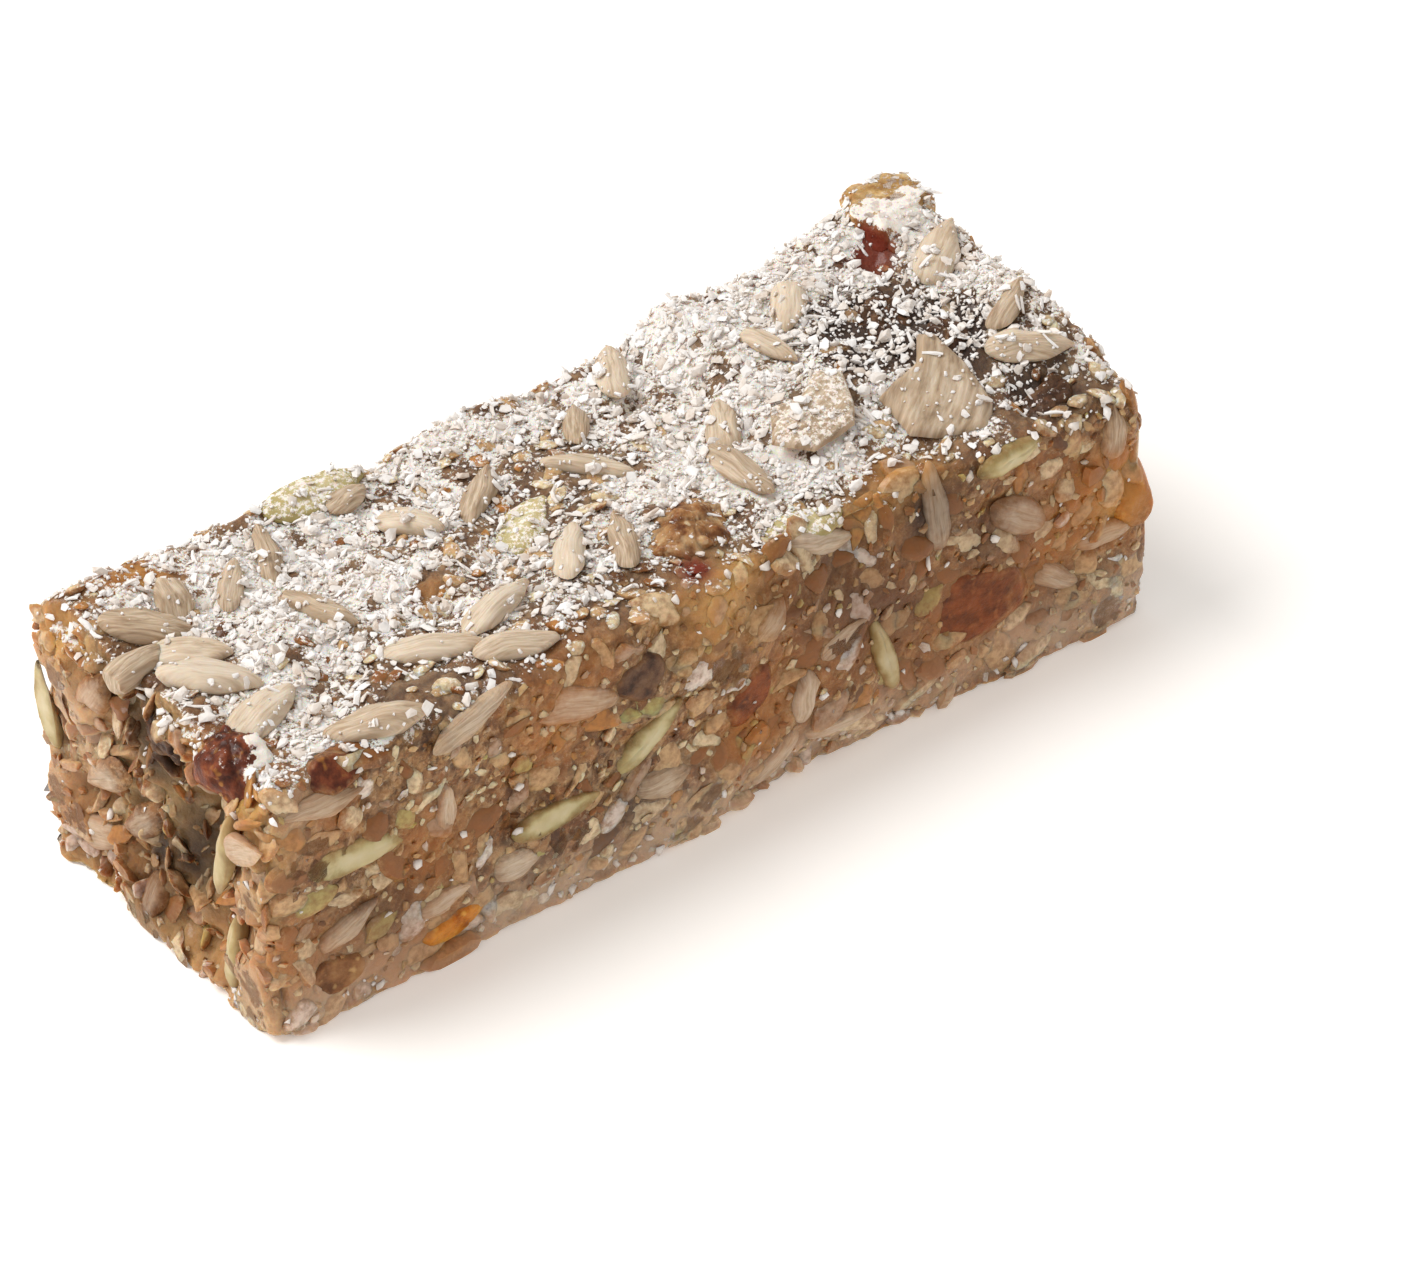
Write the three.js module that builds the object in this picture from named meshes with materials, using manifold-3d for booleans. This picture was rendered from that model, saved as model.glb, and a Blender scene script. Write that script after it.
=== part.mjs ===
// A granola bar: a slab of seeds, dried fruit and syrup, pressed flat, cut on three sides and broken
// on the fourth. Millimetres, +Z up. The origin is the centre of the footprint: +X runs along the bar,
// -Y is the cut side in front and -X the broken end.

import * as THREE from "three";
import { mergeVertices } from "three/addons/utils/BufferGeometryUtils.js";
import Module from "manifold-3d";

const wasm = await Module();
wasm.setup();

// Driving dimensions
const LENGTH = 100;
const WIDTH = 37;
const DECK = 27; // the pressed top, away from its rises
const PEAK = 32.6; // the tallest fruit, at the back right corner
const SINK = 0.6; // how far the syrup lies behind the outermost seeds
const EDGE = 2; // rounding of the slab's edges
const CELL = 3.6; // spacing of the slab's surface points
const CLEARANCE = 0.3; // round each piece of dried fruit
const LIFT = 2.7; // rise of the top towards the back right corner
const STANDING = 0.3; // how far a lying seed's middle stands above the syrup
const FOOT = 2; // how far the slab is carried on below the table, where it is cut flat
const PROUD = 0.45; // how far a cut seed stands out of its side
const CUT_DEPTH = 2; // thickness of a cut seed, most of it inside the slab
const ROUGHER = 1.6; // how much rougher the broken end is than the cut sides

// The slab before its relief is added
const SLAB_MAX = new THREE.Vector3(LENGTH / 2 - SINK, WIDTH / 2 - SINK, DECK - SINK);
const SLAB_MIN = new THREE.Vector3(-SLAB_MAX.x, -SLAB_MAX.y, -FOOT);

// Each face has its own across (u), up (v) and outward (n) directions
const FACES = {
  top: { u: [1, 0, 0], v: [0, 1, 0], n: [0, 0, 1] },
  front: { u: [1, 0, 0], v: [0, 0, 1], n: [0, -1, 0] },
  back: { u: [-1, 0, 0], v: [0, 0, 1], n: [0, 1, 0] },
  left: { u: [0, -1, 0], v: [0, 0, 1], n: [-1, 0, 0] },
  right: { u: [0, 1, 0], v: [0, 0, 1], n: [1, 0, 0] },
};

// Swells and hollows of the faces: u, v, reach along u, reach along v, height
const SWELLS = {
  top: [
    [-44, 15, 7, 6, 2],
    [-30, 16, 6, 5, 0.6],
    [-22, 17, 5, 4, 1.2],
    [-5, 17, 5, 4, 1],
    [20, 16, 3.5, 5, 1.3],
    [44.5, 14, 7, 6, 3],
    [36, 17, 6, 5, 0.8],
    [46, -4, 5, 8, 1.3],
    [48, -18, 4, 3, -0.8],
    [17, -18, 13, 4, -1.2],
    [-51, -1, 3, 7, 1.2],
    [10.5, 9, 2, 1.8, -1.2],
  ],
  front: [
    [17, 27, 12, 6, -2.6],
    [8, 0, 8, 5, -1.8],
    [23, 0, 10, 4, -1],
    [46, 3, 6, 5, 0.5],
  ],
  back: [
    [-30, 4, 9, 5, -1.2],
    [24, 24, 9, 5, -1.1],
    [3, 8, 6, 6, 0.4],
    [47, 4, 6, 6, 1.2],
  ],
  left: [
    [2.5, 17, 6, 8, -2.8],
    [6, 13, 3.2, 4.8, -4.2],
    [-2, 5, 2.5, 4, -1],
    [0, 0, 16, 3, 0.8],
    [-19, 9, 3, 1.8, -1],
    [-18, 4, 6, 4, 2],
    [-18, 18, 5, 9, 1.2],
    [-8, 6, 4, 4, 0.8],
    [17, 5, 5, 6, 0.6],
  ],
  right: [
    [-14, 27, 8, 6, -0.9],
    [10, 8, 8, 6, -0.8],
    [-16, 8, 8, 9, 1.9],
  ],
};

// Seeds lying on the top: u, v, turn in degrees, length, width
const TOP_SEEDS = [
  [-43.5, 8.5, -35, 8.5, 4.6],
  [-39.5, 10.5, 80, 5.5, 4],
  [-34.5, 8.5, 50, 6.5, 2.8],
  [-42.5, 3, -40, 7.5, 4.4],
  [-43.5, -1.5, -35, 9.5, 5.4],
  [-42, -7.5, 20, 8.5, 4.8],
  [-47.5, 4.5, 10, 7.5, 4.4],
  [-35.5, -15, -30, 9.5, 4.6],
  [-25.5, -9.5, -32, 9.5, 4],
  [-18, -8.5, 18, 9.5, 3.8],
  [-20, -14, -20, 8, 4.2],
  [-16.5, 6.5, -55, 6.5, 4],
  [-9, 6.5, 45, 9.5, 4],
  [-8, -6, 50, 9.5, 3.6],
  [-3.5, -7.5, 62, 9, 3.2],
  [-19, 13, 15, 5, 3],
  [1, 3.5, -45, 9, 3.4],
  [4, 9.5, 55, 6.5, 3],
  [11.5, 13.5, 60, 8.5, 4],
  [23.5, 5.5, -75, 6.5, 2.8],
  [20, -5.5, 20, 11.5, 7],
  [31.5, -8.5, 40, 11, 8.5],
  [42.5, -9, -35, 8.5, 4.2],
  [43.5, -4.5, 20, 6.5, 3.6],
  [45, 6.5, 30, 9.5, 4.8],
  [-21, 15, 4, 11.5, 4.4],
  [-8, 1, 30, 10, 4.6],
  [11.5, -14.5, -10, 8, 4],
];

// Cut seeds in the front side: u, v, turn in degrees, length, width
const FRONT_SEEDS = [
  [-40, 16.5, -8, 12, 3.4],
  [-19.5, 10.5, 3, 9.5, 2.8],
  [-9, 13.5, 40, 9.5, 2.8],
  [18, 10, 105, 10, 2.4],
  [33, 25, 5, 8, 2.6],
  [-17, 21.5, -22, 11, 4.6],
  [-27.5, 25, 15, 10, 3],
  [-43.5, 23.5, 0, 9, 3.2],
  [-31, 17, 90, 6, 2.6],
  [-31.5, 7, 5, 6.5, 3.2],
  [-24, 7, 0, 5, 4],
  [-7.5, 8, 0, 6.5, 4.2],
  [12.5, 24, -15, 8, 3.2],
  [34, 18, -35, 8, 4.6],
  [45.5, 22.5, 80, 6, 3.6],
  [9, 9.5, 85, 6, 4],
  [13, 14.5, 20, 6, 2.8],
  [5, 20, 40, 5, 3.8],
  [39, 8.5, -35, 7.5, 3.2],
  [-41.5, 9, 30, 7, 3],
];

// Cut and broken seeds in the left end
const LEFT_SEEDS = [
  [-16, 17, 92, 10, 3],
  [11, 17, 85, 9.5, 2.6],
  [11, 6, 95, 8, 2.8],
  [4, 19, 70, 6, 4],
  [-8.5, 22, 55, 8, 4.4],
  [-10, 6, 20, 8, 4.6],
  [15, 20, 30, 7, 3.6],
  [-3, 11.5, 40, 7, 4],
];

// How many more seeds are pressed in wherever there is room: top, front, and the sides out of sight
const FILL = { top: 5, front: 4, back: 20, left: 2, right: 9 };

// Dried fruit: face, u, v, turn, half length, half width, half depth, how far its centre is sunk
const FRUIT = {
  cranberry_corner: ["top", -46.4, -10, 80, 3.6, 3.1, 2.8, 1.4],
  cranberry_edge: ["front", -41.5, 26.2, 0, 2.8, 1.8, 2, 1.2],
  cherry: ["top", 2.5, -10, 20, 5, 3.8, 3, 2.2],
  raisin_deck: ["top", 35, 3.5, 60, 5.2, 3.4, 2.6, 1.9],
  raisin_deck_small: ["top", 37.8, -3.6, 65, 3.4, 2.4, 2.4, 1.6],
  raisin_edge: ["top", 40.5, -14, 20, 4.4, 2.4, 2.6, 2.4],
  peak_fruit: ["top", 44.2, 14, 35, 5.6, 4.2, 3.2, 2.7],
  cherry_slice: ["front", 28, 10.5, -8, 7.2, 4.8, 3.4, 2.6],
  cherry_strip: ["front", 2.5, 12.5, 80, 4.2, 3, 2.8, 2.1],
  apricot_foot: ["front", -30.5, 3.4, 4, 4.6, 2, 2.6, 2],
  fig_foot: ["front", -43, 4.6, 10, 3.4, 2.2, 2.6, 2],
  raisin_slice: ["front", -9.5, 20.5, -20, 3.2, 2.4, 2.4, 1.8],
  apricot_end: ["right", -15, 13.5, 85, 4, 3.4, 2.9, 2.1],
  raisin_hollow: ["left", 0.5, 22.5, 15, 3.4, 2.6, 2.4, 1.4],
  cranberry_end: ["right", 6, 17.5, 30, 4, 2.8, 2.6, 1.9],
  raisin_end: ["right", 0, 6.5, -10, 3.6, 2.6, 2.6, 1.9],
  apricot_back: ["back", -22, 12, 12, 6, 3.8, 3, 2.2],
  raisin_back: ["back", 12, 17.5, -25, 4, 2.8, 2.6, 1.9],
  cranberry_back: ["back", 36, 9, 60, 3.8, 2.8, 2.6, 1.9],
};

const LOOKS = {
  bar: { color: 0xb08a60, roughness: 0.7, metalness: 0 },
  cranberry: { color: 0x6e2a1a, roughness: 0.4, metalness: 0 },
  cherry: { color: 0x7a3420, roughness: 0.4, metalness: 0 },
  raisin: { color: 0x3c2d23, roughness: 0.5, metalness: 0 },
  peak: { color: 0x8a4a26, roughness: 0.45, metalness: 0 },
  apricot: { color: 0xbe6e1e, roughness: 0.4, metalness: 0 },
  fig: { color: 0x82502a, roughness: 0.5, metalness: 0 },
};

// Gives the same run of numbers from 0 to 1 each time it is started with the same seed
function makeRandom(seed) {
  let state = seed;
  return () => {
    state = (state * 48271) % 2147483647;
    return state / 2147483647;
  };
}

// A smooth step from 0 at t = 0 to 1 at t = 1
function ease(t) {
  const held = Math.min(Math.max(t, 0), 1);
  return held * held * (3 - 2 * held);
}

// Waves in every direction, of spans from the shortest to the longest, which make the surface uneven
function makeWaves({ count, shortest, longest, steepness, seed }) {
  const random = makeRandom(seed);
  const waves = [];
  for (let i = 0; i < count; i += 1) {
    const span = shortest + ((longest - shortest) * i) / count;
    const slant = 2 * random() - 1;
    const bearing = 2 * Math.PI * random();
    const flat = Math.sqrt(1 - slant * slant);
    const way = new THREE.Vector3(flat * Math.cos(bearing), flat * Math.sin(bearing), slant);
    waves.push({
      way: way.multiplyScalar((2 * Math.PI) / span),
      phase: 2 * Math.PI * random(),
      height: steepness * span,
    });
  }
  return waves;
}

const WAVES = makeWaves({ count: 14, shortest: 5, longest: 18, steepness: 0.011, seed: 4021 });

function unevenness(point) {
  return WAVES.reduce((sum, w) => sum + w.height * Math.sin(w.way.dot(point) + w.phase), 0);
}

function along(point, way) {
  return point.x * way[0] + point.y * way[1] + point.z * way[2];
}

// Height that the swells of one face add at a point
function swell(face, point) {
  const u = along(point, FACES[face].u);
  const v = along(point, FACES[face].v);
  let height = 0;
  for (const [atU, atV, reachU, reachV, rise] of SWELLS[face]) {
    height += rise * Math.exp(-(((u - atU) / reachU) ** 2) - ((v - atV) / reachV) ** 2);
  }
  if (face === "top") {
    height += LIFT * ease((u - 14) / 6) * ease((v + 16) / 14);
  }
  return height;
}

// Moves a point of the plain slab to the uneven surface
function skin(point) {
  const inner = point.clone().clamp(
    SLAB_MIN.clone().addScalar(EDGE),
    SLAB_MAX.clone().subScalar(EDGE),
  );
  const out = point.clone().sub(inner).normalize();
  const moved = inner.addScaledVector(out, EDGE);
  const broken = 1 + (ROUGHER - 1) * ease(-out.x);
  const rough = unevenness(moved) * broken * ease((moved.z + SINK) / EDGE);
  const shift = out.clone().multiplyScalar(rough);
  for (const [name, face] of Object.entries(FACES)) {
    const facing = along(out, face.n);
    if (facing > 0) {
      shift.addScaledVector(new THREE.Vector3(...face.n), facing * swell(name, moved));
    }
  }
  return moved.add(shift);
}

// The point of the plain slab at u and v of a face
function onSlab(face, u, v) {
  const { u: across, v: up, n: out } = FACES[face];
  const point = new THREE.Vector3();
  for (const axis of ["x", "y", "z"]) {
    const i = "xyz".indexOf(axis);
    const reach = out[i] === 0 ? 0 : SLAB_MAX[axis];
    point[axis] = across[i] * u + up[i] * v + out[i] * reach;
  }
  return point;
}

function toSolid(geometry) {
  geometry.deleteAttribute("normal");
  geometry.deleteAttribute("uv");
  const merged = mergeVertices(geometry, 1e-4);
  const vertProperties = new Float32Array(merged.attributes.position.array);
  const triVerts = new Uint32Array(merged.index.array);
  return new wasm.Manifold(new wasm.Mesh({ numProp: 3, vertProperties, triVerts }));
}

function toMesh(name, solid, look) {
  const { vertProperties, triVerts } = solid.getMesh();
  const geometry = new THREE.BufferGeometry();
  geometry.setAttribute("position", new THREE.BufferAttribute(new Float32Array(vertProperties), 3));
  geometry.setIndex(new THREE.BufferAttribute(new Uint32Array(triVerts), 1));
  geometry.computeVertexNormals();
  const mesh = new THREE.Mesh(geometry, new THREE.MeshStandardMaterial(look));
  mesh.name = name;
  return mesh;
}

// The pressed slab with its relief, before the seeds are added
function makeSlab() {
  const size = SLAB_MAX.clone().sub(SLAB_MIN);
  const middle = SLAB_MAX.clone().add(SLAB_MIN).divideScalar(2);
  const cells = size.clone().divideScalar(CELL).round();
  const geometry = new THREE.BoxGeometry(size.x, size.y, size.z, cells.x, cells.y, cells.z);
  geometry.translate(middle.x, middle.y, middle.z);
  const places = geometry.attributes.position;
  const point = new THREE.Vector3();
  for (let i = 0; i < places.count; i += 1) {
    point.copy(skin(point.fromBufferAttribute(places, i)));
    places.setXYZ(i, point.x, point.y, point.z);
  }
  return toSolid(geometry);
}

// Puts a shape made round its own origin onto a face: z outwards and x along the turned u, both
// following the surface there
function place(geometry, face, u, v, turn, sunk) {
  const probe = 1.2; // how far apart the surface is felt for its slope
  const seat = skin(onSlab(face, u, v));
  const across = skin(onSlab(face, u + probe, v)).sub(skin(onSlab(face, u - probe, v))).normalize();
  const up = skin(onSlab(face, u, v + probe)).sub(skin(onSlab(face, u, v - probe)));
  const out = across.clone().cross(up).normalize();
  const matrix = new THREE.Matrix4().makeBasis(across, out.clone().cross(across), out);
  geometry.rotateZ(THREE.MathUtils.degToRad(turn));
  geometry.applyMatrix4(matrix.setPosition(seat.addScaledVector(out, -sunk)));
  return geometry;
}

// A whole seed, round at one end and pointed at the other
function makeKernel(length, width) {
  const geometry = new THREE.SphereGeometry(1, 6, 4);
  geometry.rotateZ(Math.PI / 2);
  const places = geometry.attributes.position;
  for (let i = 0; i < places.count; i += 1) {
    const taper = 1 - 0.28 * places.getX(i);
    const wide = (places.getY(i) * taper * width) / 2;
    const thick = (places.getZ(i) * taper * Math.min(width, 4.4)) / 3;
    places.setXYZ(i, (places.getX(i) * length) / 2, wide, thick);
  }
  return geometry;
}

// A seed cut through by the knife: a flat oval, pointed at one end, let into the side
function makeCutSeed(length, width) {
  const geometry = new THREE.CylinderGeometry(0.93, 1, CUT_DEPTH, 7, 1);
  geometry.rotateX(Math.PI / 2);
  const places = geometry.attributes.position;
  for (let i = 0; i < places.count; i += 1) {
    const taper = 1 - 0.25 * places.getX(i);
    const wide = (places.getY(i) * taper * width) / 2;
    places.setXYZ(i, (places.getX(i) * length) / 2, wide, places.getZ(i));
  }
  return geometry;
}

// A wrinkled piece of dried fruit; grown widens it all round
function makeFruit(long, wide, deep, seed, grown) {
  const random = makeRandom(seed);
  const turns = [random(), random(), random()];
  const geometry = new THREE.SphereGeometry(1, 8, 6);
  const places = geometry.attributes.position;
  const point = new THREE.Vector3();
  for (let i = 0; i < places.count; i += 1) {
    point.fromBufferAttribute(places, i);
    const fold = 0.07 * Math.sin(4 * point.x + 6.3 * turns[0]) * Math.sin(4 * point.y + 6.3 * turns[1]);
    const swollen = 1 + fold + 0.05 * Math.sin(3 * point.z + 6.3 * turns[2]);
    point.multiplyScalar(swollen);
    places.setXYZ(i, point.x * (long + grown), point.y * (wide + grown), point.z * (deep + grown));
  }
  return geometry;
}

// Three circles along a piece, which tell how close another piece may lie
function circlesOf(face, u, v, turn, long, wide) {
  const angle = THREE.MathUtils.degToRad(turn);
  const reach = Math.max(long - wide, 0);
  return [-reach, 0, reach].map((step) => ({
    face,
    u: u + step * Math.cos(angle),
    v: v + step * Math.sin(angle),
    radius: wide,
  }));
}

function isClear(circles, taken) {
  return circles.every((a) =>
    taken.every((b) => a.face !== b.face || Math.hypot(a.u - b.u, a.v - b.v) > a.radius + b.radius),
  );
}

const SPACING = 0.3; // least room between a seed pressed in at random and its neighbours
const MOST_TRIES = 4000;
const FRUIT_MARGIN = 0.8; // keeps seeds off the fruit
const SEED_LAYOUT = 977;

// Room on each face for pieces pressed in at random: half the span along u, and v from and to
const ROOM = {
  top: [LENGTH / 2 - 4, -WIDTH / 2 + 4.5, WIDTH / 2 - 5.5],
  front: [LENGTH / 2 - 4, 3.5, DECK - 4],
  back: [LENGTH / 2 - 4, 3.5, DECK - 4],
  left: [WIDTH / 2 - 4, 3.5, DECK - 5],
  right: [WIDTH / 2 - 4, 3.5, DECK - 4],
};

// Adds seeds to a face's list wherever nothing else lies
function pressIn(face, count, seeds, taken, random) {
  const [halfSpan, low, high] = ROOM[face];
  let placed = 0;
  for (let tries = 0; placed < count && tries < MOST_TRIES; tries += 1) {
    const u = (2 * random() - 1) * halfSpan;
    const v = low + random() * (high - low);
    const turn = 360 * random();
    const length = 6.5 + 3.5 * random();
    const width = 2.8 + 1.6 * random();
    const circles = circlesOf(face, u, v, turn, length / 2, width / 2 + SPACING);
    const isInside = circles.every((circle) => Math.abs(circle.u) + circle.radius < halfSpan + 3);
    if (isInside && isClear(circles, taken)) {
      seeds.push([face, u, v, turn, length, width]);
      taken.push(...circles);
      placed += 1;
    }
  }
}

// Every seed of the bar: the placed ones and then those that fill the room between them
function layOutSeeds() {
  const seeds = [
    ...TOP_SEEDS.map((seed) => ["top", ...seed]),
    ...FRONT_SEEDS.map((seed) => ["front", ...seed]),
    ...LEFT_SEEDS.map((seed) => ["left", ...seed]),
  ];
  const taken = seeds.flatMap(([face, u, v, turn, length, width]) =>
    circlesOf(face, u, v, turn, length / 2, width / 2),
  );
  for (const [face, u, v, turn, long, wide] of Object.values(FRUIT)) {
    taken.push(...circlesOf(face, u, v, turn, long + FRUIT_MARGIN, wide + FRUIT_MARGIN));
  }
  const random = makeRandom(SEED_LAYOUT);
  for (const [face, count] of Object.entries(FILL)) {
    pressIn(face, count, seeds, taken, random);
  }
  return seeds;
}

function seedSolid([face, u, v, turn, length, width]) {
  const lying = face === "top";
  const geometry = lying ? makeKernel(length, width) : makeCutSeed(length, width);
  return toSolid(place(geometry, face, u, v, turn, lying ? -STANDING : CUT_DEPTH / 2 - PROUD));
}

function fruitSolid(name, grown) {
  const [face, u, v, turn, long, wide, deep, sunk] = FRUIT[name];
  const seed = 17 * (2 + Object.keys(FRUIT).indexOf(name));
  return toSolid(place(makeFruit(long, wide, deep, seed, grown), face, u, v, turn, sunk));
}

// The space that the knife and the table leave for the bar
function makeTrim() {
  const geometry = new THREE.BoxGeometry(LENGTH, WIDTH, PEAK);
  geometry.translate(0, 0, PEAK / 2);
  return toSolid(geometry);
}

function makeBar() {
  let bar = makeSlab();
  for (const seed of layOutSeeds()) {
    bar = bar.add(seedSolid(seed));
  }
  for (const name of Object.keys(FRUIT)) {
    bar = bar.subtract(fruitSolid(name, CLEARANCE));
  }
  return toMesh("seed_bar", bar.intersect(makeTrim()), LOOKS.bar);
}

function makeFruitPiece(name) {
  return toMesh(name, fruitSolid(name, 0).intersect(makeTrim()), LOOKS[name.split("_")[0]]);
}

const group = new THREE.Group();
group.add(makeBar());
for (const name of Object.keys(FRUIT)) {
  group.add(makeFruitPiece(name));
}

export default group;
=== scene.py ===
"""Looks of a granola bar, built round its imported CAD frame.

Shapes are made in millimetres, as in the part's source, and turned to metres when a mesh is made.
The slab, the seeds and the fruit lie where the source has them. Crumbs and coconut are dropped onto
them here, as small closed meshes at true size.
"""

import math

import bmesh
import bpy
import numpy as np
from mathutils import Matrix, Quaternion, Vector, noise
from mathutils.bvhtree import BVHTree


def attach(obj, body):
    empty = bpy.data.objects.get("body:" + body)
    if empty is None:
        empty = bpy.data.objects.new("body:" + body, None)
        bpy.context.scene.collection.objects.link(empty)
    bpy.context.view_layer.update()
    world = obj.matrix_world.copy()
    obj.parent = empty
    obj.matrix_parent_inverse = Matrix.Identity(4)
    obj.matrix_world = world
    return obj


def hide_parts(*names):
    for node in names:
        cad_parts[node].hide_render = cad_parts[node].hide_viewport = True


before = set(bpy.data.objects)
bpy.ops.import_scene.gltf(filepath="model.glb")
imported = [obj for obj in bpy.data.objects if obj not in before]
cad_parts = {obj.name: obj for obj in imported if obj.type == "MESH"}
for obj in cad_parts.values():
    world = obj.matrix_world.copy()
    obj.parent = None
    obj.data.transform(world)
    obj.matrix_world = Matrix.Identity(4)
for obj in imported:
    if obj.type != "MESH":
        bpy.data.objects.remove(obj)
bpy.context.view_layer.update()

MM = 0.001

# --- the slab, as in the part's source

LENGTH = 100
WIDTH = 37
DECK = 27
PEAK = 32.6
SINK = 0.6  # how far the syrup lies behind the outermost seeds
EDGE = 2  # rounding of the slab's edges
LIFT = 2.7  # rise of the top towards the back right corner
LIFT_FROM = (14, -16)  # where it starts, along the bar and across it
LIFT_RUN = (6, 14)  # how far from there it is complete
STANDING = 0.3  # how far a lying seed's middle stands above the syrup
FOOT = 2  # how far the slab is carried on below the table, where it is cut flat
PROUD = 0.45  # how far a cut seed stands out of its side
ROUGHER = 1.6  # how much rougher the broken end is than the cut sides
PROBE = 1.2  # how far apart the surface is felt for its slope

SLAB_HIGH = np.array([LENGTH / 2 - SINK, WIDTH / 2 - SINK, DECK - SINK])
SLAB_LOW = np.array([-SLAB_HIGH[0], -SLAB_HIGH[1], -FOOT])
SHOWN_LOW = np.array([-SLAB_HIGH[0], -SLAB_HIGH[1], -SINK])  # the same, down to the table
BOX_LOW = np.array([-LENGTH / 2, -WIDTH / 2, 0])
BOX_HIGH = np.array([LENGTH / 2, WIDTH / 2, PEAK])

# Across (u), up (v) and outward (n) directions of each face
FACES = {
    "top": ((1, 0, 0), (0, 1, 0), (0, 0, 1)),
    "front": ((1, 0, 0), (0, 0, 1), (0, -1, 0)),
    "back": ((-1, 0, 0), (0, 0, 1), (0, 1, 0)),
    "left": ((0, -1, 0), (0, 0, 1), (-1, 0, 0)),
    "right": ((0, 1, 0), (0, 0, 1), (1, 0, 0)),
    "bottom": ((1, 0, 0), (0, -1, 0), (0, 0, -1)),
}

CUT_SIDES = ("front", "back", "right")  # those that a knife cut

# Swells and hollows: u, v, reach along u, reach along v, height
SWELLS = {
    "top": [
        (-44, 15, 7, 6, 2), (-30, 16, 6, 5, 0.6), (-22, 17, 5, 4, 1.2), (-5, 17, 5, 4, 1),
        (20, 16, 3.5, 5, 1.3), (44.5, 14, 7, 6, 3), (36, 17, 6, 5, 0.8), (46, -4, 5, 8, 1.3),
        (48, -18, 4, 3, -0.8), (17, -18, 13, 4, -1.2), (-51, -1, 3, 7, 1.2), (10.5, 9, 2, 1.8, -1.2),
    ],
    "front": [
        (17, 27, 12, 6, -2.6), (8, 0, 8, 5, -1.8), (23, 0, 10, 4, -1), (46, 3, 6, 5, 0.5),
    ],
    "back": [
        (-30, 4, 9, 5, -1.2), (24, 24, 9, 5, -1.1), (3, 8, 6, 6, 0.4), (47, 4, 6, 6, 1.2),
    ],
    "left": [
        (2.5, 17, 6, 8, -2.8), (6, 13, 3.2, 4.8, -4.2), (-2, 5, 2.5, 4, -1), (0, 0, 16, 3, 0.8),
        (-19, 9, 3, 1.8, -1), (-18, 4, 6, 4, 2), (-18, 18, 5, 9, 1.2), (-8, 6, 4, 4, 0.8),
        (17, 5, 5, 6, 0.6),
    ],
    "right": [
        (-14, 27, 8, 6, -0.9), (10, 8, 8, 6, -0.8), (-16, 8, 8, 9, 1.9),
    ],
}

# Seeds: u, v, turn in degrees, length, width
SUNFLOWERS = {
    "top": [
        (-43.5, 8.5, -35, 8.5, 4.6), (-39.5, 10.5, 80, 5.5, 4), (-34.5, 8.5, 50, 6.5, 2.8),
        (-42.5, 3, -40, 7.5, 4.4), (-43.5, -1.5, -35, 9.5, 5.4), (-42, -7.5, 20, 8.5, 4.8),
        (-47.5, 4.5, 10, 7.5, 4.4), (-35.5, -15, -30, 9.5, 4.6), (-25.5, -9.5, -32, 9.5, 4),
        (-18, -8.5, 18, 9.5, 3.8), (-20, -14, -20, 8, 4.2), (-16.5, 6.5, -55, 6.5, 4),
        (-9, 6.5, 45, 9.5, 4), (-8, -6, 50, 9.5, 3.6), (-3.5, -7.5, 62, 9, 3.2), (-19, 13, 15, 5, 3),
        (1, 3.5, -45, 9, 3.4), (4, 9.5, 55, 6.5, 3), (11.5, 13.5, 60, 8.5, 4),
        (23.5, 5.5, -75, 6.5, 2.8), (42.5, -9, -35, 8.5, 4.2), (43.5, -4.5, 20, 6.5, 3.6),
        (45, 6.5, 30, 9.5, 4.8),
    ],
    "front": [
        (-17, 21.5, -22, 11, 4.6), (-27.5, 25, 15, 10, 3), (-43.5, 23.5, 0, 9, 3.2),
        (-31, 17, 90, 6, 2.6), (-31.5, 7, 5, 6.5, 3.2), (-24, 7, 0, 5, 4), (-7.5, 8, 0, 6.5, 4.2),
        (12.5, 24, -15, 8, 3.2), (34, 18, -35, 8, 4.6), (45.5, 22.5, 80, 6, 3.6), (9, 9.5, 85, 6, 4),
        (13, 14.5, 20, 6, 2.8), (5, 20, 40, 5, 3.8), (39, 8.5, -35, 7.5, 3.2), (-41.5, 9, 30, 7, 3),
    ],
    "left": [
        (4, 19, 70, 6, 4), (-8.5, 22, 55, 8, 4.4), (-10, 6, 20, 8, 4.6), (15, 20, 30, 7, 3.6),
        (-3, 11.5, 40, 7, 4),
    ],
}
PUMPKINS = {
    "top": [
        (-21, 15, 4, 11.5, 4.4), (-8, 1, 30, 10, 4.6), (11.5, -14.5, -10, 8, 4),
    ],
    "front": [
        (-40, 16.5, -8, 12, 3.4), (-19.5, 10.5, 3, 9.5, 2.8), (-9, 13.5, 40, 9.5, 2.8),
        (18, 10, 105, 10, 2.4), (33, 25, 5, 8, 2.6),
    ],
    "left": [
        (-16, 17, 92, 10, 3), (11, 17, 85, 9.5, 2.6), (11, 6, 95, 8, 2.8),
    ],
}
SHARDS = {
    "top": [
        (20, -5.5, 20, 11.5, 7), (31.5, -8.5, 40, 11, 8.5),
    ],
}

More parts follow.
